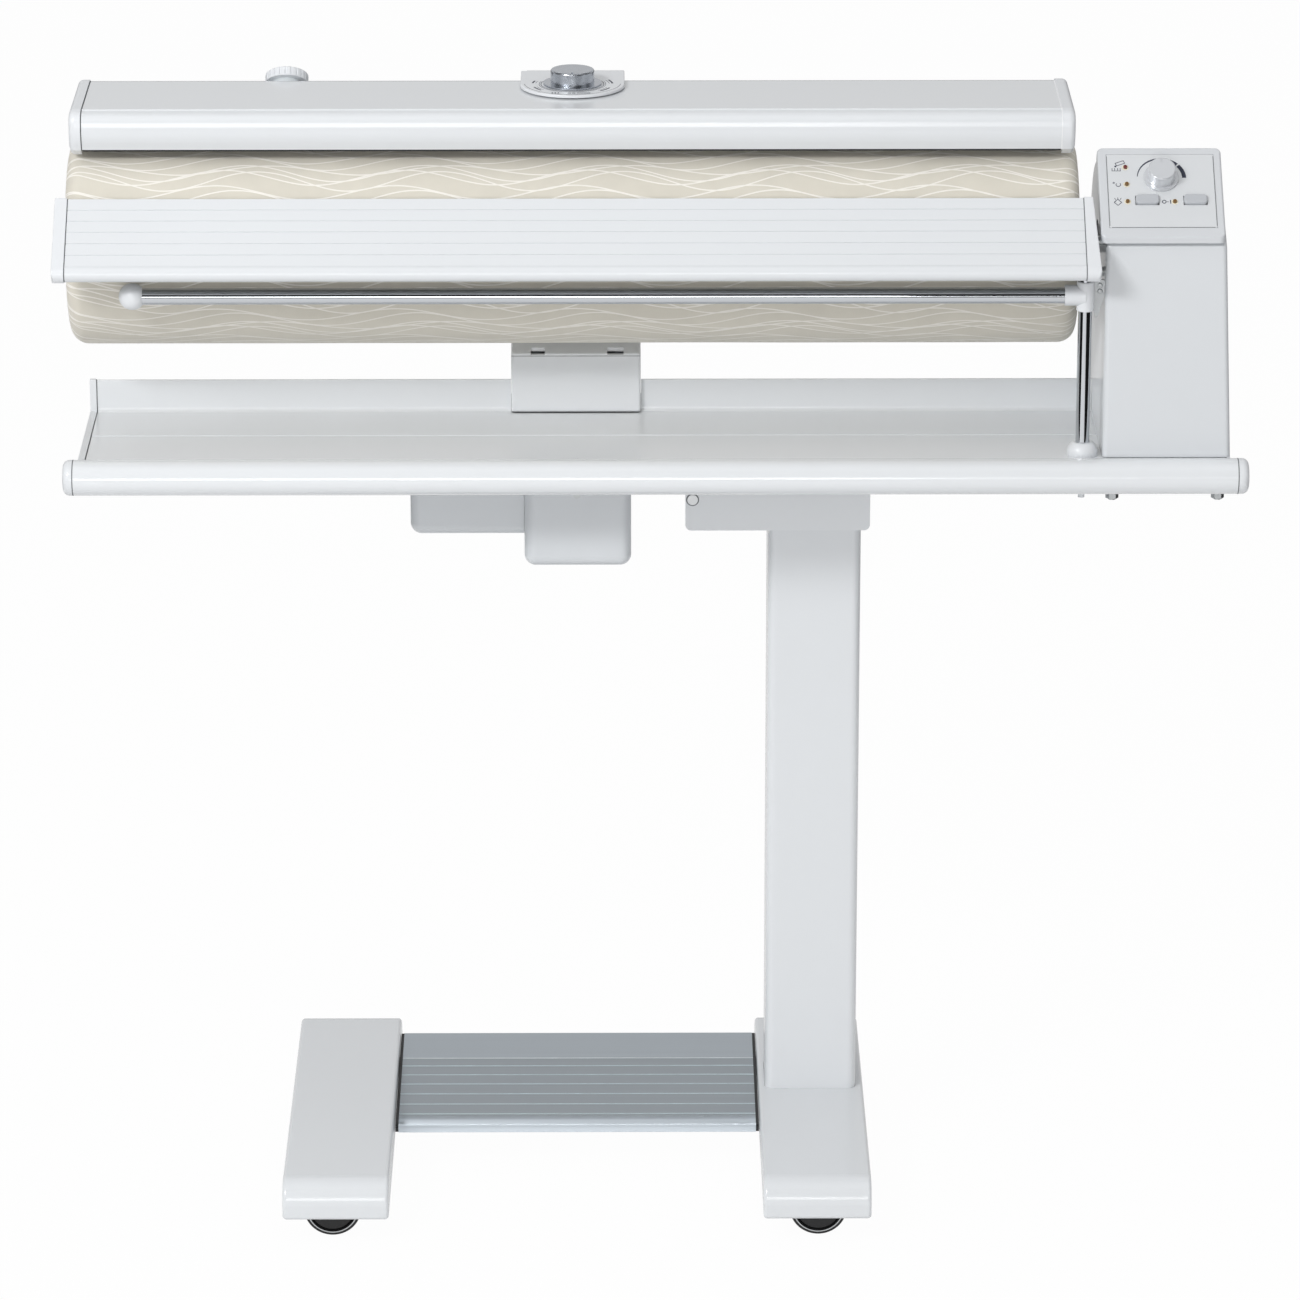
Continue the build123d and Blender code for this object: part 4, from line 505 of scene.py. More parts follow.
# %% Build the thread wave group
def build_thread_wave():
    tree, given, result = start_group(
        "thread_wave",
        {"Along": ("Float", 0.0), "Round": ("Float", 0.0), "Spacing": ("Float", 0.03),
         "Swing": ("Float", 0.012), "Wavelength": ("Float", 0.3), "Phase": ("Float", 0.0),
         "Shift": ("Float", 0.0), "Width": ("Float", 0.0013)},
        {"Thread": "Float"},
    )
    travelled = math_node(tree, "MULTIPLY", given.outputs["Along"], 2 * math.pi)
    turns = math_node(tree, "DIVIDE", travelled, given.outputs["Wavelength"])
    curve = math_node(tree, "SINE", math_node(tree, "ADD", turns, given.outputs["Phase"]))
    offset = math_node(tree, "MULTIPLY", curve, given.outputs["Swing"])
    swung = math_node(tree, "ADD", given.outputs["Round"], offset)
    shifted = math_node(tree, "ADD", swung, given.outputs["Shift"])
    cell = math_node(tree, "DIVIDE", shifted, given.outputs["Spacing"])
    near = math_node(tree, "ABSOLUTE", math_node(tree, "SUBTRACT", math_node(tree, "FRACT", cell), 0.5))
    gap = math_node(tree, "MULTIPLY", near, given.outputs["Spacing"])
    share = math_node(tree, "DIVIDE", gap, given.outputs["Width"])
    edge = add(tree, "ShaderNodeMapRange", {"Value": share, 1: 0.35, 2: 0.65, 3: 1.0, 4: 0.0})
    edge.interpolation_type = "SMOOTHSTEP"
    tree.links.new(edge.outputs[0], result.inputs["Thread"])
    return tree


THREAD_WAVE = build_thread_wave()
print("group", THREAD_WAVE.name, "has", len(THREAD_WAVE.nodes), "nodes")

# %% Measure the roller
PAD_LOW, PAD_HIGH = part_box("roller_padding")
ROLLER_AXIS = Vector((0, (PAD_LOW.y + PAD_HIGH.y) / 2, (PAD_LOW.z + PAD_HIGH.z) / 2))
ROLLER_RADIUS = (PAD_HIGH.y - PAD_LOW.y) / 2
GIRTH = 2 * math.pi * ROLLER_RADIUS
print("roller radius in mm:", round(ROLLER_RADIUS / MM, 1), "girth:", round(GIRTH / MM))


# %% Mix the roller cloth
PATTERN_REPEATS = 15          # times that the whole bundle of lines fits round the roller
WEAVE_STEP = 0.9 * MM         # from one warp thread to the next but one
CLOTH_GROUND = (0.695, 0.66, 0.575)
THREAD_CREAM = (0.90, 0.87, 0.81, 1)
THREAD_FAMILIES = (
    # shift round the roller mm, swing mm, wavelength mm, phase
    (0.0, 8.5, 148.0, 0.0),
    (4.5, 7.5, 148.0, 0.75),
    (8.0, 9.5, 150.0, -0.55),
    (19.0, 6.5, 147.0, 1.15),
    (25.0, 8.0, 148.0, 0.35),
    (33.0, 5.0, 149.0, -0.9),
)


def unrolled(tree):
    """Sockets for the place on the unrolled cloth: along the roller and round it."""
    place = split_axes(tree, place_on_piece(tree))
    across = math_node(tree, "SUBTRACT", place["Y"], ROLLER_AXIS.y)
    up = math_node(tree, "SUBTRACT", place["Z"], ROLLER_AXIS.z)
    angle = math_node(tree, "ARCTAN2", across, up)
    return place["X"], math_node(tree, "MULTIPLY", angle, ROLLER_RADIUS)


def thread_mask(tree, along, around):
    """1 on a cream thread and 0 between them: the families of waves laid over each other."""
    threads = 0.0
    for shift, swing, wavelength, phase in THREAD_FAMILIES:
        family = use_group(tree, THREAD_WAVE, Along=along, Round=around, Spacing=GIRTH / PATTERN_REPEATS,
                           Swing=swing * MM, Wavelength=wavelength * MM, Phase=phase, Shift=shift * MM)
        threads = math_node(tree, "MAXIMUM", threads, family.outputs[0])
    return threads


def weave_height(tree, along, around):
    """The over and under of a plain weave, from -1 to 1."""
    waves = 2 * math.pi / WEAVE_STEP
    warp = math_node(tree, "SINE", math_node(tree, "MULTIPLY", along, waves))
    weft = math_node(tree, "SINE", math_node(tree, "MULTIPLY", around, waves))
    return math_node(tree, "MULTIPLY", warp, weft)


def cloth_finish():
    made, tree, shader = start_finish("roller_cloth")
    along, around = unrolled(tree)
    threads = thread_mask(tree, along, around)
    weave = weave_height(tree, along, around)
    mottle = noise_node(tree, place_on_piece(tree), 60.0, 6.0)
    level = math_node(tree, "ADD", 0.94, math_node(tree, "MULTIPLY", mottle, 0.12))
    # Painted shade of the weave: its crossings are a little lighter and its hollows a little darker.
    level = math_node(tree, "ADD", level, math_node(tree, "MULTIPLY", weave, 0.03))
    ground = scaled(tree, CLOTH_GROUND, level)
    tone = add(tree, "ShaderNodeMix", {0: threads, 6: ground, 7: THREAD_CREAM}, data_type="RGBA")
    tree.links.new(tone.outputs[2], shader.inputs["Base Color"])
    shader.inputs["Roughness"].default_value = 0.85
    shader.inputs["Sheen Weight"].default_value = 0.25
    shader.inputs["Sheen Roughness"].default_value = 0.5
    woven = math_node(tree, "MULTIPLY", weave, 0.4)
    raised = math_node(tree, "ADD", woven, math_node(tree, "MULTIPLY", threads, 1.2))
    bump(tree, shader, raised, 0.25, strength=0.6)
    return made


CLOTH = cloth_finish()
print("cloth has", len(THREAD_FAMILIES), "families of threads")

# %% [markdown]
# ## The sleeve itself
# The sleeve is pulled over the padding and gathered over each end by a drawstring. So the middle is a
# nearly true cylinder, soft by a few tenths of a millimetre, the shoulders are round, and the gathers run
# from the shoulder to the mouth, deeper the further the cloth has to shrink. The pad is tight and hard
# driven, which leaves cloth simulation little to do, so the form is modelled from rings: each ring is one
# section, and the gathers are waves round it whose depth grows towards the mouth.


# %% Shape the sleeve's profile
SHOULDER = 14 * MM           # radius of the rounded end
MOUTH = 57 * MM              # radius of the gathered opening
HEM_DEPTH = 7 * MM           # how far the hem turns into the mouth
FACE_DISH = 1.2 * MM         # how far the cloth sinks between the shoulder and the mouth
SHOULDER_RINGS, FACE_RINGS, STRAIGHT_RINGS = 9, 5, 40


def end_profile():
    """Sections of one end of the sleeve: (distance from the end, radius, pull of the drawstring)."""
    sections = []
    for step in range(SHOULDER_RINGS + 1):
        turn = math.pi / 2 * step / SHOULDER_RINGS
        sections.append((SHOULDER * (1 - math.sin(turn)), ROLLER_RADIUS - SHOULDER * (1 - math.cos(turn)),
                         turn / (math.pi / 2)))
    for step in range(1, FACE_RINGS + 1):
        share = step / FACE_RINGS
        radius = ROLLER_RADIUS - SHOULDER - share * (ROLLER_RADIUS - SHOULDER - MOUTH)
        sections.append((FACE_DISH * math.sin(math.pi * share), radius, 1.0 + share))
    sections.append((1.6 * MM, MOUTH - 1.2 * MM, 2.0))
    sections.append((HEM_DEPTH, MOUTH - 1.6 * MM, 1.4))
    return sections


def sleeve_profile(low_x, high_x):
    """Sections of the whole sleeve from one mouth to the other: (x, radius, pull of the drawstring)."""
    sections = end_profile()
    left = [(low_x + inset, radius, pull) for inset, radius, pull in reversed(sections)]
    right = [(high_x - inset, radius, pull) for inset, radius, pull in sections]
    start, stop = left[-1][0], right[0][0]
    middle = [(start + (stop - start) * step / STRAIGHT_RINGS, ROLLER_RADIUS, 0.0)
              for step in range(1, STRAIGHT_RINGS)]
    return left + middle + right


print("one end of the sleeve has", len(end_profile()), "sections")


# %% Sew the sleeve
PLEAT_DEPTH = 1.25 * MM      # depth of a pleat at a pull of one
GATHERS = 46                 # pleats round each mouth
RING_POINTS = 368            # points round the roller, eight to a pleat
CLOTH_THICKNESS = 1.2 * MM
SOFTNESS = 0.35 * MM         # slow unevenness of the padding
SPARE = 0.15 * MM            # how far the cloth may stand proud of the padding's box
END_GAP = 0.3 * MM


def gather_depth(angle, pull, end_seed):
    """How far the cloth sinks at an angle: rounded pleats of uneven width that grow with the pull."""
    if pull <= 0:
        return 0.0
    drift = 1.6 * noise.noise(Vector((math.cos(angle) * 2.2, math.sin(angle) * 2.2, end_seed)))
    pleat = 0.5 + 0.5 * math.cos(GATHERS * angle + drift * 3.0)
    uneven = 0.7 + 0.5 * noise.noise(Vector((math.cos(angle) * 6, math.sin(angle) * 6, end_seed + 5)))
    return pull ** 1.5 * PLEAT_DEPTH * pleat * uneven


def sleeve_ring(cloth, x, radius, pull):
    """One closed ring of the sleeve's points about the roller's axis."""
    ring = []
    end_seed = 1.0 if x < 0 else 9.0
    for point in range(RING_POINTS):
        angle = 2 * math.pi * point / RING_POINTS
        soft = SOFTNESS * noise.noise(Vector((x * 9, math.cos(angle) * 3, math.sin(angle) * 3)))
        sunk = gather_depth(angle, pull, end_seed)
        reach = min(radius + soft - sunk, ROLLER_RADIUS + SPARE)
        y = ROLLER_AXIS.y + reach * math.sin(angle)
        z = ROLLER_AXIS.z + reach * math.cos(angle)
        ring.append(cloth.verts.new((x, y, z)))
    return ring


def sew_sleeve():
    cloth = bmesh.new()
    profile = sleeve_profile(PAD_LOW.x + END_GAP, PAD_HIGH.x - END_GAP)
    rings = [sleeve_ring(cloth, x, radius, pull) for x, radius, pull in profile]
    for near, far in zip(rings, rings[1:]):
        for point in range(RING_POINTS):
            after = (point + 1) % RING_POINTS
            cloth.faces.new((near[point], far[point], far[after], near[after]))
    bmesh.ops.recalc_face_normals(cloth, faces=cloth.faces)
    return cloth


sleeve = join_machine("roller_sleeve", sew_sleeve(), CLOTH, "roller")
sleeve.modifiers.new("cloth_thickness", "SOLIDIFY").thickness = CLOTH_THICKNESS
smooth(sleeve, 80)
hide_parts("roller_padding")
print("sleeve has", len(sleeve.data.polygons), "faces")

# %% [markdown]
# ## Seams between panels and end caps
# Where a sheet panel meets its moulded end cap there is a hair gap that looks like a dark line. On the
# real thing it is a shadow; a line of the right width is more reliable at this scale. One line is a painted
# highlight instead: the edge of the hood's right end cap catches the light, and that line is painted
# bright. Each line is a narrow band lifted off the panel's own surface, so it follows every round and
# fold: the panel's mesh is copied, cut down to a band between two planes across the machine, and moved
# out along its normals.


# %% Lay the seam lines
SEAM_WIDTH = 0.8 * MM
SEAM_LIFT = 0.12 * MM
SEAM_THICKNESS = 0.1 * MM
WELD = 0.001 * MM
STEEPEST_END = 0.5            # faces whose normal leans further along X than this are flat ends


def band_of(node, x0, x1, lift):
    """The part of a node's surface between two planes square to X, lifted off it."""
    band = bmesh.new()
    band.from_mesh(NODES[node].data)
    everything = band.verts[:] + band.edges[:] + band.faces[:]
    bmesh.ops.bisect_plane(band, geom=everything, plane_co=(x0, 0, 0), plane_no=(-1, 0, 0), clear_outer=True)
    everything = band.verts[:] + band.edges[:] + band.faces[:]
    bmesh.ops.bisect_plane(band, geom=everything, plane_co=(x1, 0, 0), plane_no=(1, 0, 0), clear_outer=True)
    flat_ends = [face for face in band.faces if abs(face.normal.x) > STEEPEST_END]
    bmesh.ops.delete(band, geom=flat_ends, context="FACES")
    bmesh.ops.remove_doubles(band, verts=band.verts, dist=WELD)
    band.normal_update()
    for vert in band.verts:
        normal = Vector((0, vert.normal.y, vert.normal.z))
        if normal.length > 0:
            vert.co += normal.normalized() * lift
    return band


def lay_seam(name, node, x, behind, finish, body):
    """A thin line on a panel from x towards +X, only on the part of it that is behind a depth."""
    band = band_of(node, x * MM, x * MM + SEAM_WIDTH, SEAM_LIFT)
    nearer = [face for face in band.faces if face.calc_center_median().y < behind * MM]
    bmesh.ops.delete(band, geom=nearer, context="FACES")
    piece = join_machine(name, band, finish, body)
    piece.modifiers.new("line_thickness", "SOLIDIFY").thickness = SEAM_THICKNESS
    return piece


ALL_ROUND = -200.0            # a depth in front of the whole machine
SEAMS = (
    # name, node, where it starts along X in mm, only behind this depth, finish, body
    ("tube_seam_left", "tray", -475.78, ALL_ROUND, SEAM_SHADOW, "head"),
    ("tube_seam_right", "tray", 478.7, ALL_ROUND, SEAM_SHADOW, "head"),
    ("tray_seam_left", "tray", -466.58, -96, SEAM_SHADOW, "head"),
    ("tray_seam_right", "tray", 470.2, -96, SEAM_SHADOW, "head"),
    ("hood_seam_left", "shoe_cover", -467.58, ALL_ROUND, SEAM_SHADOW, "shoe"),
    # This line is a painted highlight: the edge of the end cap catches the light.
    ("hood_seam_right", "shoe_cover", 334.2, ALL_ROUND, PIN_WHITE_AND_HIGHLIGHT, "shoe"),
    ("board_seam_left", "feed_board", -477.98, ALL_ROUND, SEAM_SHADOW, "head"),
    ("board_seam_right", "feed_board", 351.2, ALL_ROUND, SEAM_SHADOW, "head"),
)
for seam_row in SEAMS:
    seam = lay_seam(*seam_row)
    print(seam.name, len(seam.data.polygons), "faces")

# %% [markdown]
# ## The shadow under the hood
# Under the lower edge of the hood's front a narrow gap shows as one thin dark line between the bright hood
# and the cloth. A black strip hangs there as the painted shadow of that gap, and gives the hood a clear
# lower edge.

# %% Hang the painted shadow strip
# A black strip in the gap under the hood's front edge: painted shadow of that gap.
SHADOW_STRIP_Z0, SHADOW_STRIP_Z1 = 903.6 * MM, 905.6 * MM
SHADOW_STRIP_BEHIND_FRONT, SHADOW_STRIP_THICKNESS, SHADOW_STRIP_END_GAP = 5.2 * MM, 1.6 * MM, 1.0 * MM
hood_low, hood_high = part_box("shoe_cover")
shadow_strip_corner = Vector((hood_low.x + SHADOW_STRIP_END_GAP, hood_low.y + SHADOW_STRIP_BEHIND_FRONT, SHADOW_STRIP_Z0))
shadow_strip_size = Vector((hood_high.x - hood_low.x - 2 * SHADOW_STRIP_END_GAP, SHADOW_STRIP_THICKNESS, SHADOW_STRIP_Z1 - SHADOW_STRIP_Z0))
shadow_strip = bmesh.new()
bmesh.ops.create_cube(shadow_strip, size=1.0)
bmesh.ops.scale(shadow_strip, verts=shadow_strip.verts, vec=shadow_strip_size)
bmesh.ops.translate(shadow_strip, verts=shadow_strip.verts, vec=shadow_strip_corner + shadow_strip_size / 2)
bmesh.ops.bevel(shadow_strip, geom=shadow_strip.edges[:], offset=0.3 * MM, segments=2, profile=0.5, affect="EDGES")
join_machine("hood_gap_shadow_strip", shadow_strip, DARK_RUBBER, "shoe")
# The strip paints the shadow in the gap under the hood.
print("felt lip is", round(shadow_strip_size.x / MM), "mm long")

# %% [markdown]
# ## Printed marks as thin geometry
# The scales and signs are printed on the real machine. Here they are flat shapes a few hundredths of a
# millimetre thick, so they stay sharp at any distance. Every mark is made of two shapes: a sector of a
# ring, which also makes circles, arcs and wedges, and a bar. A pen draws them on a plane with its own
# origin and directions.


# %% Define the marking pen
INK = 0.06 * MM


class Pen:
    """Draws flat marks on a plane: right and up are its directions, face is its normal."""

    def __init__(self, origin, right, up):
        self.marks = bmesh.new()
        self.origin, self.right, self.up = origin, right.normalized(), up.normalized()
        self.face = self.right.cross(self.up)

    def outline(self, points):
        """A flat mark with an outline in millimetres, raised by the thickness of the ink."""
        low, high = [], []
        for across, along in points:
            foot = self.origin + self.right * across * MM + self.up * along * MM
            low.append(self.marks.verts.new(foot))
            high.append(self.marks.verts.new(foot + self.face * INK))
        self.marks.faces.new(high)
        self.marks.faces.new(list(reversed(low)))
        for here in range(len(points)):
            after = (here + 1) % len(points)
            self.marks.faces.new((low[here], low[after], high[after], high[here]))

    def bar(self, x, y, width, height, turn=0.0):
        """A straight bar about its middle, turned by degrees."""
        c, s = math.cos(math.radians(turn)), math.sin(math.radians(turn))
        corners = ((-1, -1), (1, -1), (1, 1), (-1, 1))
        halves = [(sign_x * width / 2, sign_y * height / 2) for sign_x, sign_y in corners]
        self.outline([(x + c * a - s * b, y + s * a + c * b) for a, b in halves])

    def sector(self, x, y, inner, outer, start, stop, inner_stop=None):
        """A sector of a ring from one clock angle to another; the inner radius may change on the way."""
        steps = max(3, int((stop - start) / 6))
        for step in range(steps):
            ring = []
            for share, radii in ((step / steps, (0, 1)), ((step + 1) / steps, (1, 0))):
                turn = math.radians(start + (stop - start) * share)
                edge = inner + ((inner_stop or inner) - inner) * share
                for which in radii:
                    radius = (edge, outer)[which]
                    ring.append((x + radius * math.sin(turn), y + radius * math.cos(turn)))
            self.outline(list(reversed(ring)))


print("pen ready; ink is", INK / MM, "mm thick")

# %% [markdown]
# ## The sloped panel
# The operator reads the machine here: a dial with a scale that thickens as the roller turns faster, four
# lamps with pale rings, and small plain signs. The plane of the panel is found from the plate itself: its
# middle is the middle of its box, and it leans back by the slope of the box.

# %% Find the plane of the panel
RIGHT = Vector((1, 0, 0))
SLOPE = math.radians(38.0)
UP_PANEL = Vector((0, math.cos(SLOPE), math.sin(SLOPE)))
OFF_PANEL = Vector((0, -math.sin(SLOPE), math.cos(SLOPE)))
plate_low, plate_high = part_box("panel_plate")
PLATE_HALF_THICKNESS = 0.46 * MM
PLATE_SURFACE = (plate_low + plate_high) / 2 + OFF_PANEL * PLATE_HALF_THICKNESS
PLATE_MIDDLE_X, PLATE_MIDDLE_S = 415.8, 47.0      # in mm along X and up the slope


def on_panel(x, s):
    """A place on the panel's plate, from X in millimetres and the distance up the slope."""
    across = RIGHT * (x - PLATE_MIDDLE_X) * MM
    return PLATE_SURFACE + across + UP_PANEL * (s - PLATE_MIDDLE_S) * MM


print("plate middle:", [round(value / MM, 1) for value in PLATE_SURFACE])

# %% Draw the scale of the speed dial
DIAL_X, DIAL_S = 416.4, 60.6
SCALE_OUTER = 20.2
pen = Pen(on_panel(0, 0), RIGHT, UP_PANEL)
for inner, start, stop, inner_stop in ((19.5, -86, -5, 18.6), (18.5, 1.5, 44, 17.0), (17.0, 48, 90, 16.8)):
    pen.sector(DIAL_X, DIAL_S, inner, SCALE_OUTER, start, stop, inner_stop=inner_stop)
print("the scale reaches", SCALE_OUTER, "mm from the dial's axis")

# %% [markdown]
# ## Four plain signs
# Each lamp has a sign to its left: a tilted pressing shoe over a row of stitches, a degree ring with a C
# for the heat, a square on its corner under three strokes for the pressed shoe, and a ring, a dot and a
# stroke for off and on. They are generic signs, drawn with the same pen from bars and rings. A sign's
# places are in millimetres from its lamp, so a sign moves with its lamp.

# %% Draw the signs
LAMP_PLACES = ((387.1, 71.2), (387.6, 53.8), (387.6, 36.1), (426.2, 36.0))
STROKE = 0.55


def pressing_shoe_sign(x, s):
    """A pressing shoe, tilted, over a row of stitches."""
    sides = ((-4.7, 5.7, 7.4, 22), (-3.6, 3.1, 7.4, 22), (-7.6, 3.1, 3.0, 112), (-0.8, 5.7, 3.0, 112))
    for across, along, width, turn in sides:
        pen.bar(x + across, s + along, width, STROKE, turn=turn)
    pen.sector(x - 8.0, s + 1.1, 0.0, 0.85, 0, 359)
    for across in (-10.9, -8.7, -6.3, -4.2):
        pen.bar(x + across, s - 2.3, 0.5, 3.0)
    for across in (-9.8, -7.5, -5.2):
        pen.bar(x + across, s - 3.5, 1.4, 0.45)


def heat_sign(x, s):
    """A degree ring and a C."""
    pen.sector(x - 10.6, s + 1.6, 0.35, 0.85, 0, 360)
    pen.sector(x - 6.9, s - 0.2, 1.55, 2.15, 50, 310)


def pressed_sign(x, s):
    """A square on its corner under three strokes."""
    for turn, across, along in ((45, -9.5, 0.9), (-45, -6.4, 0.9), (45, -6.4, -2.2), (-45, -9.5, -2.2)):
        pen.bar(x + across, s + along, 4.3, STROKE, turn=turn)
    for ray in (-1, 0, 1):
        pen.bar(x - 7.9 + 2.3 * ray, s + 3.4 - 0.5 * abs(ray), 0.45, 1.8, turn=-24 * ray)


def off_and_on_sign(x, s):
    """A ring, a dot and a stroke."""
    pen.sector(x - 8.7, s, 1.15, 1.85, 0, 360)
    pen.bar(x - 5.7, s, 0.8, 0.8)
    pen.bar(x - 3.5, s, 0.75, 3.6)


for sign, (x, s) in zip((pressing_shoe_sign, heat_sign, pressed_sign, off_and_on_sign), LAMP_PLACES):
    sign(x, s)
panel_marks = join_machine("panel_marks", pen.marks, PRINT_INK, "head")
print("panel marks have", len(panel_marks.data.polygons), "faces")

# %% [markdown]
# ## The plate's edge and two marks on the sheet metal
# The plate lies in a shallow recess, and the shade in the recess is painted as a dark line along both
# sides and the lower edge. The housing has a horizontal fold across its front, whose shade is painted as a
# dark line, and a screw head holds the deep cover. All three are drawn with the pen too, because they are
# finer than anything that the light would show from five metres away.

# %% Frame the plate
BORDER_CORNER = 3.0           # what the lines leave free for the round corners, in mm
PLATE_HALF_W = (plate_high.x - plate_low.x) / 2 / MM - 0.35
PLATE_HALF_S = (plate_high.z - plate_low.z) / 2 / MM / math.sin(SLOPE) - 0.9
border = Pen(PLATE_SURFACE, RIGHT, UP_PANEL)
# The border lines are the painted shadow of the plate's recess.
border.bar(0.0, -PLATE_HALF_S, 2 * PLATE_HALF_W - BORDER_CORNER, STROKE)
for across in (-PLATE_HALF_W, PLATE_HALF_W):
    border.bar(across, 0.0, 0.45, 2 * PLATE_HALF_S - BORDER_CORNER)
plate_border = join_machine("plate_border", border.marks, SEAM_SHADOW, "head")
print("the plate's border has", len(plate_border.data.polygons), "faces")

# %% Mark the housing and the deep cover
HOUSING_LINE_X, HOUSING_LINE_Z, HOUSING_LINE_W = -64.0, 709.6, 108.0
COVER_SCREW_X, COVER_SCREW_Z, COVER_SCREW_R = -63.0, 612.9, 3.2


def front_pen(node):
    """A pen that draws on the front of a node."""
    return Pen(Vector((0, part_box(node)[0].y, 0)), RIGHT, Vector((0, 0, 1)))


fold_pen = front_pen("arm_housing")
# The fold line is painted shade along the housing's fold.
fold_pen.bar(HOUSING_LINE_X, HOUSING_LINE_Z, HOUSING_LINE_W, 0.5)
join_machine("housing_line", fold_pen.marks, SEAM_SHADOW, "head")
screw_pen = front_pen("drive_cover_deep")
screw_pen.sector(COVER_SCREW_X, COVER_SCREW_Z, 0.0, COVER_SCREW_R, 0, 360)
join_machine("cover_screw", screw_pen.marks, ZINC, "head")
print("the fold line is", HOUSING_LINE_W, "mm long and the screw head", 2 * COVER_SCREW_R, "mm wide")

# %% Ring the lamps
LAMP_RING = coated("lamp_ring", (0.86, 0.80, 0.62), 0.4, grain_mm=0.4)
ring_pen = Pen(on_panel(0, 0), RIGHT, UP_PANEL)
for x, s in LAMP_PLACES:
    ring_pen.sector(x, s, 1.75, 2.8, 0, 360)
lamp_rings = join_machine("lamp_rings", ring_pen.marks, LAMP_RING, "head")
print("lamp rings have", len(lamp_rings.data.polygons), "faces")

# %% [markdown]
# ## The scale of the temperature knob
# The D-shaped plate round the knob carries fine rings, four pairs of short arcs for the heat settings,
# and small plain marks at its front. One ring near the plate's round front is the painted shade of a
# groove there. They lie on the plate's flat top, whose height is the top of the cover's box.

# %% Draw the knob's scale
PLATE_CURVE_Y, PLATE_CURVE_R = 3.9, 43.4     # the round front of the plate, about a point behind the knob
HEAT_STEPS = ((64, 86), (112, 136), (231, 252), (276, 290))      # clock angles of the four settings
knob_low, knob_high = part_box("temperature_knob")
plate_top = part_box("arm_cover")[1].z
scale = Pen(Vector(((knob_low.x + knob_high.x) / 2, (knob_low.y + knob_high.y) / 2, plate_top)),
            RIGHT, Vector((0, 1, 0)))
scale.sector(0, 0, 25.8, 26.4, 0, 360)
scale.sector(0, 0, 27.4, 27.8, 70, 290)
# A painted shade: the dark line of the groove near the plate's round front.
scale.sector(0, PLATE_CURVE_Y, PLATE_CURVE_R - 3.6, PLATE_CURVE_R - 3.2, 95, 265)
for start, stop in HEAT_STEPS:
    scale.sector(0, 0, 32.4, 33.9, start, stop)
    scale.sector(0, 0, 30.4, 30.8, start, stop)
for across in (-16.5, -14.0, -11.5):
    scale.bar(across, -30.5, 0.9, 3.2)
for across in (-2.4, 1.2):
    scale.sector(across, -31.5, 0.8, 1.4, 0, 360)
scale.bar(9.5, -31.0, 11.0, 1.6)
knob_scale = join_machine("knob_scale", scale.marks, PRINT_INK, "shoe")
print("knob scale has", len(knob_scale.data.polygons), "faces")

# %% [markdown]
# ## Rings on the wheels and round the hinge pin
# Each wheel has a thin bright ring on its face just inside the tread, a painted highlight of the rim, and
# the pale hinge pin is ringed by the painted shadow of the gap round it. Both are turned shapes, so they
# come from one function that turns a small rectangle about an axis along Y.


# %% Turn the rings
RIM_SOFTNESS = 0.15 * MM


def turned_ring(centre, inner, outer, y0, y1, points=96):
    """A flat ring about an axis along Y, from a depth y0 to its face at y1, with a softened outer rim."""
    ring = bmesh.new()
    rim = outer + RIM_SOFTNESS
    rim_y = y1 - RIM_SOFTNESS if y1 > y0 else y1 + RIM_SOFTNESS
    loops = []
    for radius, y in ((inner, y0), (inner, y1), (outer, y1), (rim, rim_y), (rim, y0)):
        loop = []
        for point in range(points):
            turn = 2 * math.pi * point / points
            x, z = centre.x + radius * math.sin(turn), centre.z + radius * math.cos(turn)
            loop.append(ring.verts.new((x, y, z)))
        loops.append(loop)
    for near, far in zip(loops, loops[1:] + loops[:1]):
        for point in range(points):
            after = (point + 1) % points
            ring.faces.new((near[point], near[after], far[after], far[point]))
    bmesh.ops.recalc_face_normals(ring, faces=ring.faces)
    return ring


print("ring turner ready")

# %% Lay the painted highlight rings on the wheels
WHEEL_HIGHLIGHT_INNER, WHEEL_HIGHLIGHT_OUTER = 20.7 * MM, 21.5 * MM
WHEEL_HIGHLIGHT_SUNK, WHEEL_HIGHLIGHT_PROUD = 0.2 * MM, 0.12 * MM
for end in ("front", "rear"):
    for side in ("left", "right"):
        wheel = f"wheel_{end}_{side}"
        low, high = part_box(wheel)
        for face, y, way in (("outer", low.y, -1), ("inner", high.y, 1)):
            # Each ring is a painted highlight of the wheel's rim.
            ring = turned_ring((low + high) / 2, WHEEL_HIGHLIGHT_INNER, WHEEL_HIGHLIGHT_OUTER,
                               y - way * WHEEL_HIGHLIGHT_SUNK, y + way * WHEEL_HIGHLIGHT_PROUD)
            join_machine(f"{wheel}_ring_{face}", ring, ZINC, wheel)
print("wheel rings are", round(2 * WHEEL_HIGHLIGHT_OUTER / MM), "mm wide")

# %% Ring the hinge pin with its painted gap shadow
PIN_AXIS = Vector((33.4 * MM, 0, 598.0 * MM))
bracket_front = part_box("column_bracket")[0].y
# A dark ring round the pin: painted shadow of the gap between the pin and the bracket.
pin_gap_shadow = turned_ring(PIN_AXIS, 4.5 * MM, 5.3 * MM, bracket_front + 0.1 * MM, bracket_front - 0.25 * MM)
join_machine("hinge_pin_gap_shadow", pin_gap_shadow, SEAM_SHADOW, "stand")
print("hinge pin seated at", [round(value / MM, 1) for value in PIN_AXIS])

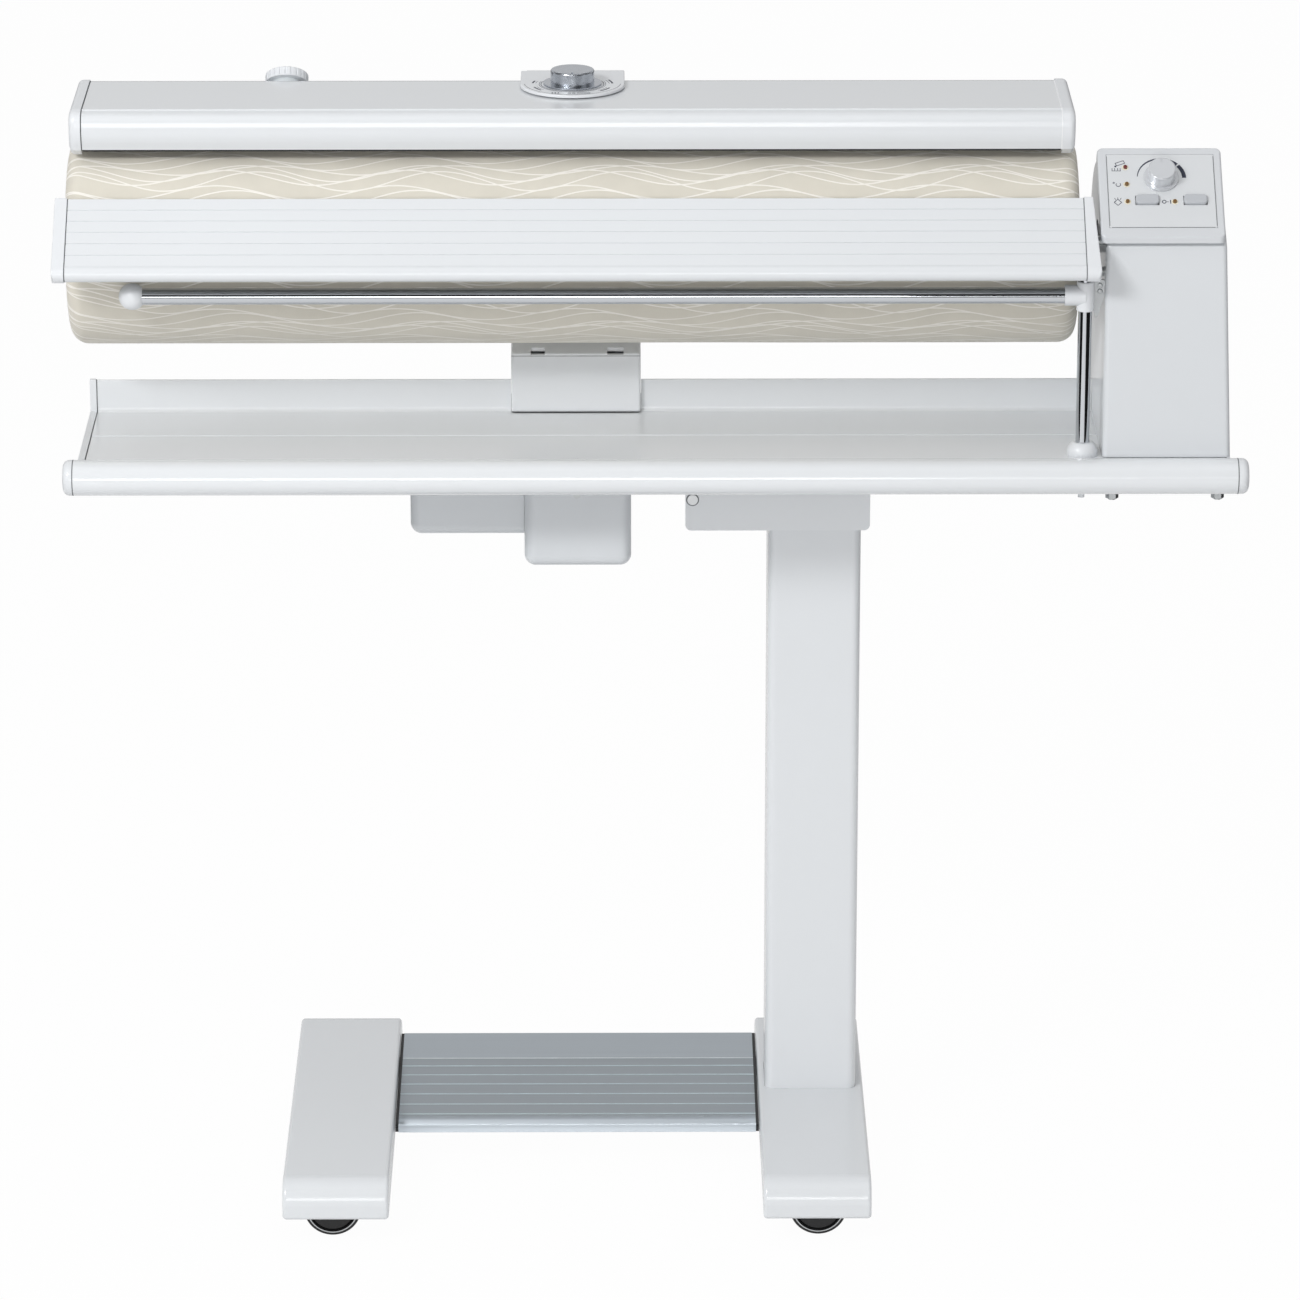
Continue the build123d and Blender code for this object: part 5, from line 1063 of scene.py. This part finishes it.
# %% [markdown]
# ## The cheeks of the foot bar
# A black cheek closes each end of the foot bar, where the gap between the bar and the foot shows black.
# The cheek is cut from the outline of the bar seen from the side, set a little lower, and is thinner than
# the gap. Its underside rises to the back, because the bar tips when it is pressed and the cheek has to
# clear the cross beam.


# %% Cut the cheeks
CHEEK_THICKNESS = 2.6 * MM
CHEEK_GAP = 0.05 * MM
CHEEK_FRONT_DROP, CHEEK_BACK_DROP = 12.6 * MM, 0.6 * MM      # of its top edge, below the bar's highest point
CHEEK_END = 1.0 * MM                                         # how far it ends in front of the bar's back
PEDAL_LOW, PEDAL_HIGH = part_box("pedal_bar")


def cheek_side_view():
    """The outline of a cheek seen from the side, as places (y, z)."""
    front, back = PEDAL_LOW.y, PEDAL_HIGH.y - CHEEK_END
    front_z, back_z = PEDAL_HIGH.z - CHEEK_FRONT_DROP, PEDAL_HIGH.z - CHEEK_BACK_DROP
    return (
        (front + 2.5 * MM, front_z - 6.0 * MM), (front + 0.8 * MM, front_z - 2.0 * MM),
        (front + 4.0 * MM, front_z), (back, back_z), (back, back_z - 5.0 * MM),
    )


def pedal_cheek(x0, x1):
    """A plate between two planes across the machine, with the outline of the foot bar's side."""
    side_view = cheek_side_view()
    cheek = bmesh.new()
    near = [cheek.verts.new((x0, y, z)) for y, z in side_view]
    far = [cheek.verts.new((x1, y, z)) for y, z in side_view]
    cheek.faces.new(near)
    cheek.faces.new(list(reversed(far)))
    for here in range(len(side_view)):
        after = (here + 1) % len(side_view)
        cheek.faces.new((near[after], near[here], far[here], far[after]))
    bmesh.ops.recalc_face_normals(cheek, faces=cheek.faces)
    return cheek


for side, x0, x1 in (("left", PEDAL_LOW.x - CHEEK_THICKNESS, PEDAL_LOW.x - CHEEK_GAP),
                     ("right", PEDAL_HIGH.x + CHEEK_GAP, PEDAL_HIGH.x + CHEEK_THICKNESS)):
    cheek = join_machine(f"pedal_cheek_{side}", pedal_cheek(x0, x1), DARK_RUBBER, "pedal")
    print(cheek.name, "from", round(x0 / MM, 1), "to", round(x1 / MM, 1))

# %% [markdown]
# ## Floor, backdrop and air
# The machine stands in white space, on a plain pale roll of paper that is laid towards the camera. The
# paper keeps the soft shadow of the machine; to the camera it also glows, so that it meets the white air
# without an edge. In mirror-like surfaces it glows by half, because a bright floor is what the undersides
# of glossy parts show. It is as wide as a studio roll and no wider, because more paper would throw more
# light onto the sides of the machine.


# %% Lay the floor
PAPER_WIDTH, PAPER_LENGTH, PAPER_FRONT = 2.6, 14.0, -3.4      # metres
PAPER_TONE = 0.80
PAPER_GLOW = 0.975            # share of its own light in what the camera sees of it
PAPER_MIRRORED = 0.55         # share of that in what a mirror sees of it
PAPER_DROP = 0.5 * MM         # how far it lies below the wheels


def floor_finish():
    made = bpy.data.materials.new("studio_floor")
    made.use_nodes = True
    tree = made.node_tree
    tree.nodes.clear()
    path = add(tree, "ShaderNodeLightPath")
    mirrored = math_node(tree, "MULTIPLY", path.outputs["Is Glossy Ray"], PAPER_MIRRORED)
    seen = math_node(tree, "MAXIMUM", path.outputs["Is Camera Ray"], mirrored)
    matt = add(tree, "ShaderNodeBsdfDiffuse", {"Color": (PAPER_TONE, PAPER_TONE, PAPER_TONE, 1)})
    glow = add(tree, "ShaderNodeEmission", {"Color": (1, 1, 1, 1), "Strength": 1.0})
    share = math_node(tree, "MULTIPLY", seen, PAPER_GLOW)
    mixed = add(tree, "ShaderNodeMixShader", {0: share, 1: matt.outputs[0], 2: glow.outputs[0]})
    add(tree, "ShaderNodeOutputMaterial", {"Surface": mixed.outputs[0]})
    return made


floor_mesh = bmesh.new()
bmesh.ops.create_grid(floor_mesh, x_segments=8, y_segments=8, size=1.0)
bmesh.ops.scale(floor_mesh, verts=floor_mesh.verts, vec=(PAPER_WIDTH / 2, PAPER_LENGTH / 2, 1.0))
floor_data = bpy.data.meshes.new("studio_floor")
floor_mesh.to_mesh(floor_data)
floor_mesh.free()
floor_data.materials.append(floor_finish())
floor = bpy.data.objects.new("studio_floor", floor_data)
floor.location = (0.0, PAPER_FRONT + PAPER_LENGTH / 2, -PAPER_DROP)
bpy.context.scene.collection.objects.link(floor)
print("floor is", PAPER_WIDTH, "m wide and", PAPER_LENGTH, "m long")


# %% [markdown]
# ## White to the camera, grey to the paint
# The air is one world material that answers each kind of ray differently. The camera sees pure white.
# Diffuse light gets an even level, as from a bright studio. A mirror-like surface sees a studio that is
# dark towards the camera, dim overhead and bright at the back wall: this is what gives the chrome its
# dark line and the enamel its slow changes of tone. The levels are a ramp over the angle from the horizon
# behind the camera, over the top, to the horizon behind the machine.

# %% Fill the air
AIR_LEVEL = 0.46              # light from all sides on matt surfaces
MIRRORED_AIR = (
    # degrees from the camera's horizon over the top to the far horizon, brightness in a reflection
    (0, 0.01), (22, 0.01), (32, 0.14), (45, 0.20), (60, 0.12), (90, 0.10), (115, 0.14), (138, 0.35),
    (160, 0.66), (180, 0.55),
)


def white_air():
    air = bpy.data.worlds.new("studio_air")
    air.use_nodes = True
    tree = air.node_tree
    tree.nodes.clear()
    path = add(tree, "ShaderNodeLightPath")
    way = split_axes(tree, add(tree, "ShaderNodeTexCoord").outputs["Generated"])
    towards = math_node(tree, "MULTIPLY", way["Y"], -1.0)
    over = math_node(tree, "DIVIDE", math_node(tree, "ARCTAN2", way["Z"], towards), math.pi)
    ramp = add(tree, "ShaderNodeValToRGB", {0: over})
    ramp.color_ramp.elements.remove(ramp.color_ramp.elements[1])
    for step, (degrees, brightness) in enumerate(MIRRORED_AIR):
        stop = ramp.color_ramp.elements[0] if step == 0 else ramp.color_ramp.elements.new(degrees / 180)
        stop.position, stop.color = degrees / 180, (brightness, brightness, brightness, 1)
    level = add(tree, "ShaderNodeMix", {0: path.outputs["Is Glossy Ray"], 2: AIR_LEVEL, 3: ramp.outputs[0]},
                data_type="FLOAT")
    seen = add(tree, "ShaderNodeMix", {0: path.outputs["Is Camera Ray"], 2: level.outputs[0], 3: 1.0},
               data_type="FLOAT")
    seen_through = math_node(tree, "MAXIMUM", seen.outputs[0], path.outputs["Is Transmission Ray"])
    shine = add(tree, "ShaderNodeBackground", {"Color": (1, 1, 1, 1), "Strength": seen_through})
    add(tree, "ShaderNodeOutputWorld", {"Surface": shine.outputs[0]})
    return air


bpy.context.scene.world = white_air()
print("air ready")

# %% [markdown]
# ## Studio lamps
# White goods are lit with large soft boxes, because a white surface shows its form only by slow changes
# of tone. The key is a small strong box high on the left, which models the tops and throws the soft
# shadows to the right. A low box near the camera fills the fronts, a broad one above lifts the tops, weak
# ones at the sides keep the sides apart, and two thin strips draw a line of light along the tube of the
# tray and along the back of the hood.


# %% Hang the lamps
MIDDLE = (0.0, 0.0, 0.6)
HOOD = (0.0, 0.0, 0.93)
TUBE = (0.1, -0.1, 0.7)
LAMPS = (
    # name, place, target, width and height in metres, power in watts
    ("overhead_box", (0.0, -0.6, 3.2), MIDDLE, 3.2, 2.2, 10.0),
    ("key_box", (-2.0, -2.7, 2.85), MIDDLE, 1.2, 0.6, 70.0),
    ("camera_box", (-0.5, -4.4, 1.0), MIDDLE, 1.8, 0.9, 24.0),
    ("right_box", (3.0, -1.6, 1.6), MIDDLE, 1.6, 2.0, 3.0),
    ("left_box", (-3.2, -2.2, 1.7), MIDDLE, 1.6, 2.0, 4.0),
    ("rear_strip", (0.0, 1.8, 3.1), HOOD, 4.0, 0.25, 6.0),
    ("front_strip", (0.55, -3.1, 0.85), TUBE, 1.3, 0.10, 2.5),
)


def soft_box(name, place, target, width, height, watts):
    """A rectangular lamp that points at a target."""
    lamp = bpy.data.lights.new(name, "AREA")
    lamp.shape = "RECTANGLE"
    lamp.size, lamp.size_y, lamp.energy = width, height, watts
    hung = bpy.data.objects.new(name, lamp)
    hung.location = place
    hung.rotation_mode = "QUATERNION"
    hung.rotation_quaternion = (Vector(target) - Vector(place)).to_track_quat("-Z", "Y")
    bpy.context.scene.collection.objects.link(hung)


for lamp_row in LAMPS:
    soft_box(*lamp_row)
print(len(LAMPS), "lamps hung,", sum(row[-1] for row in LAMPS), "W in all")
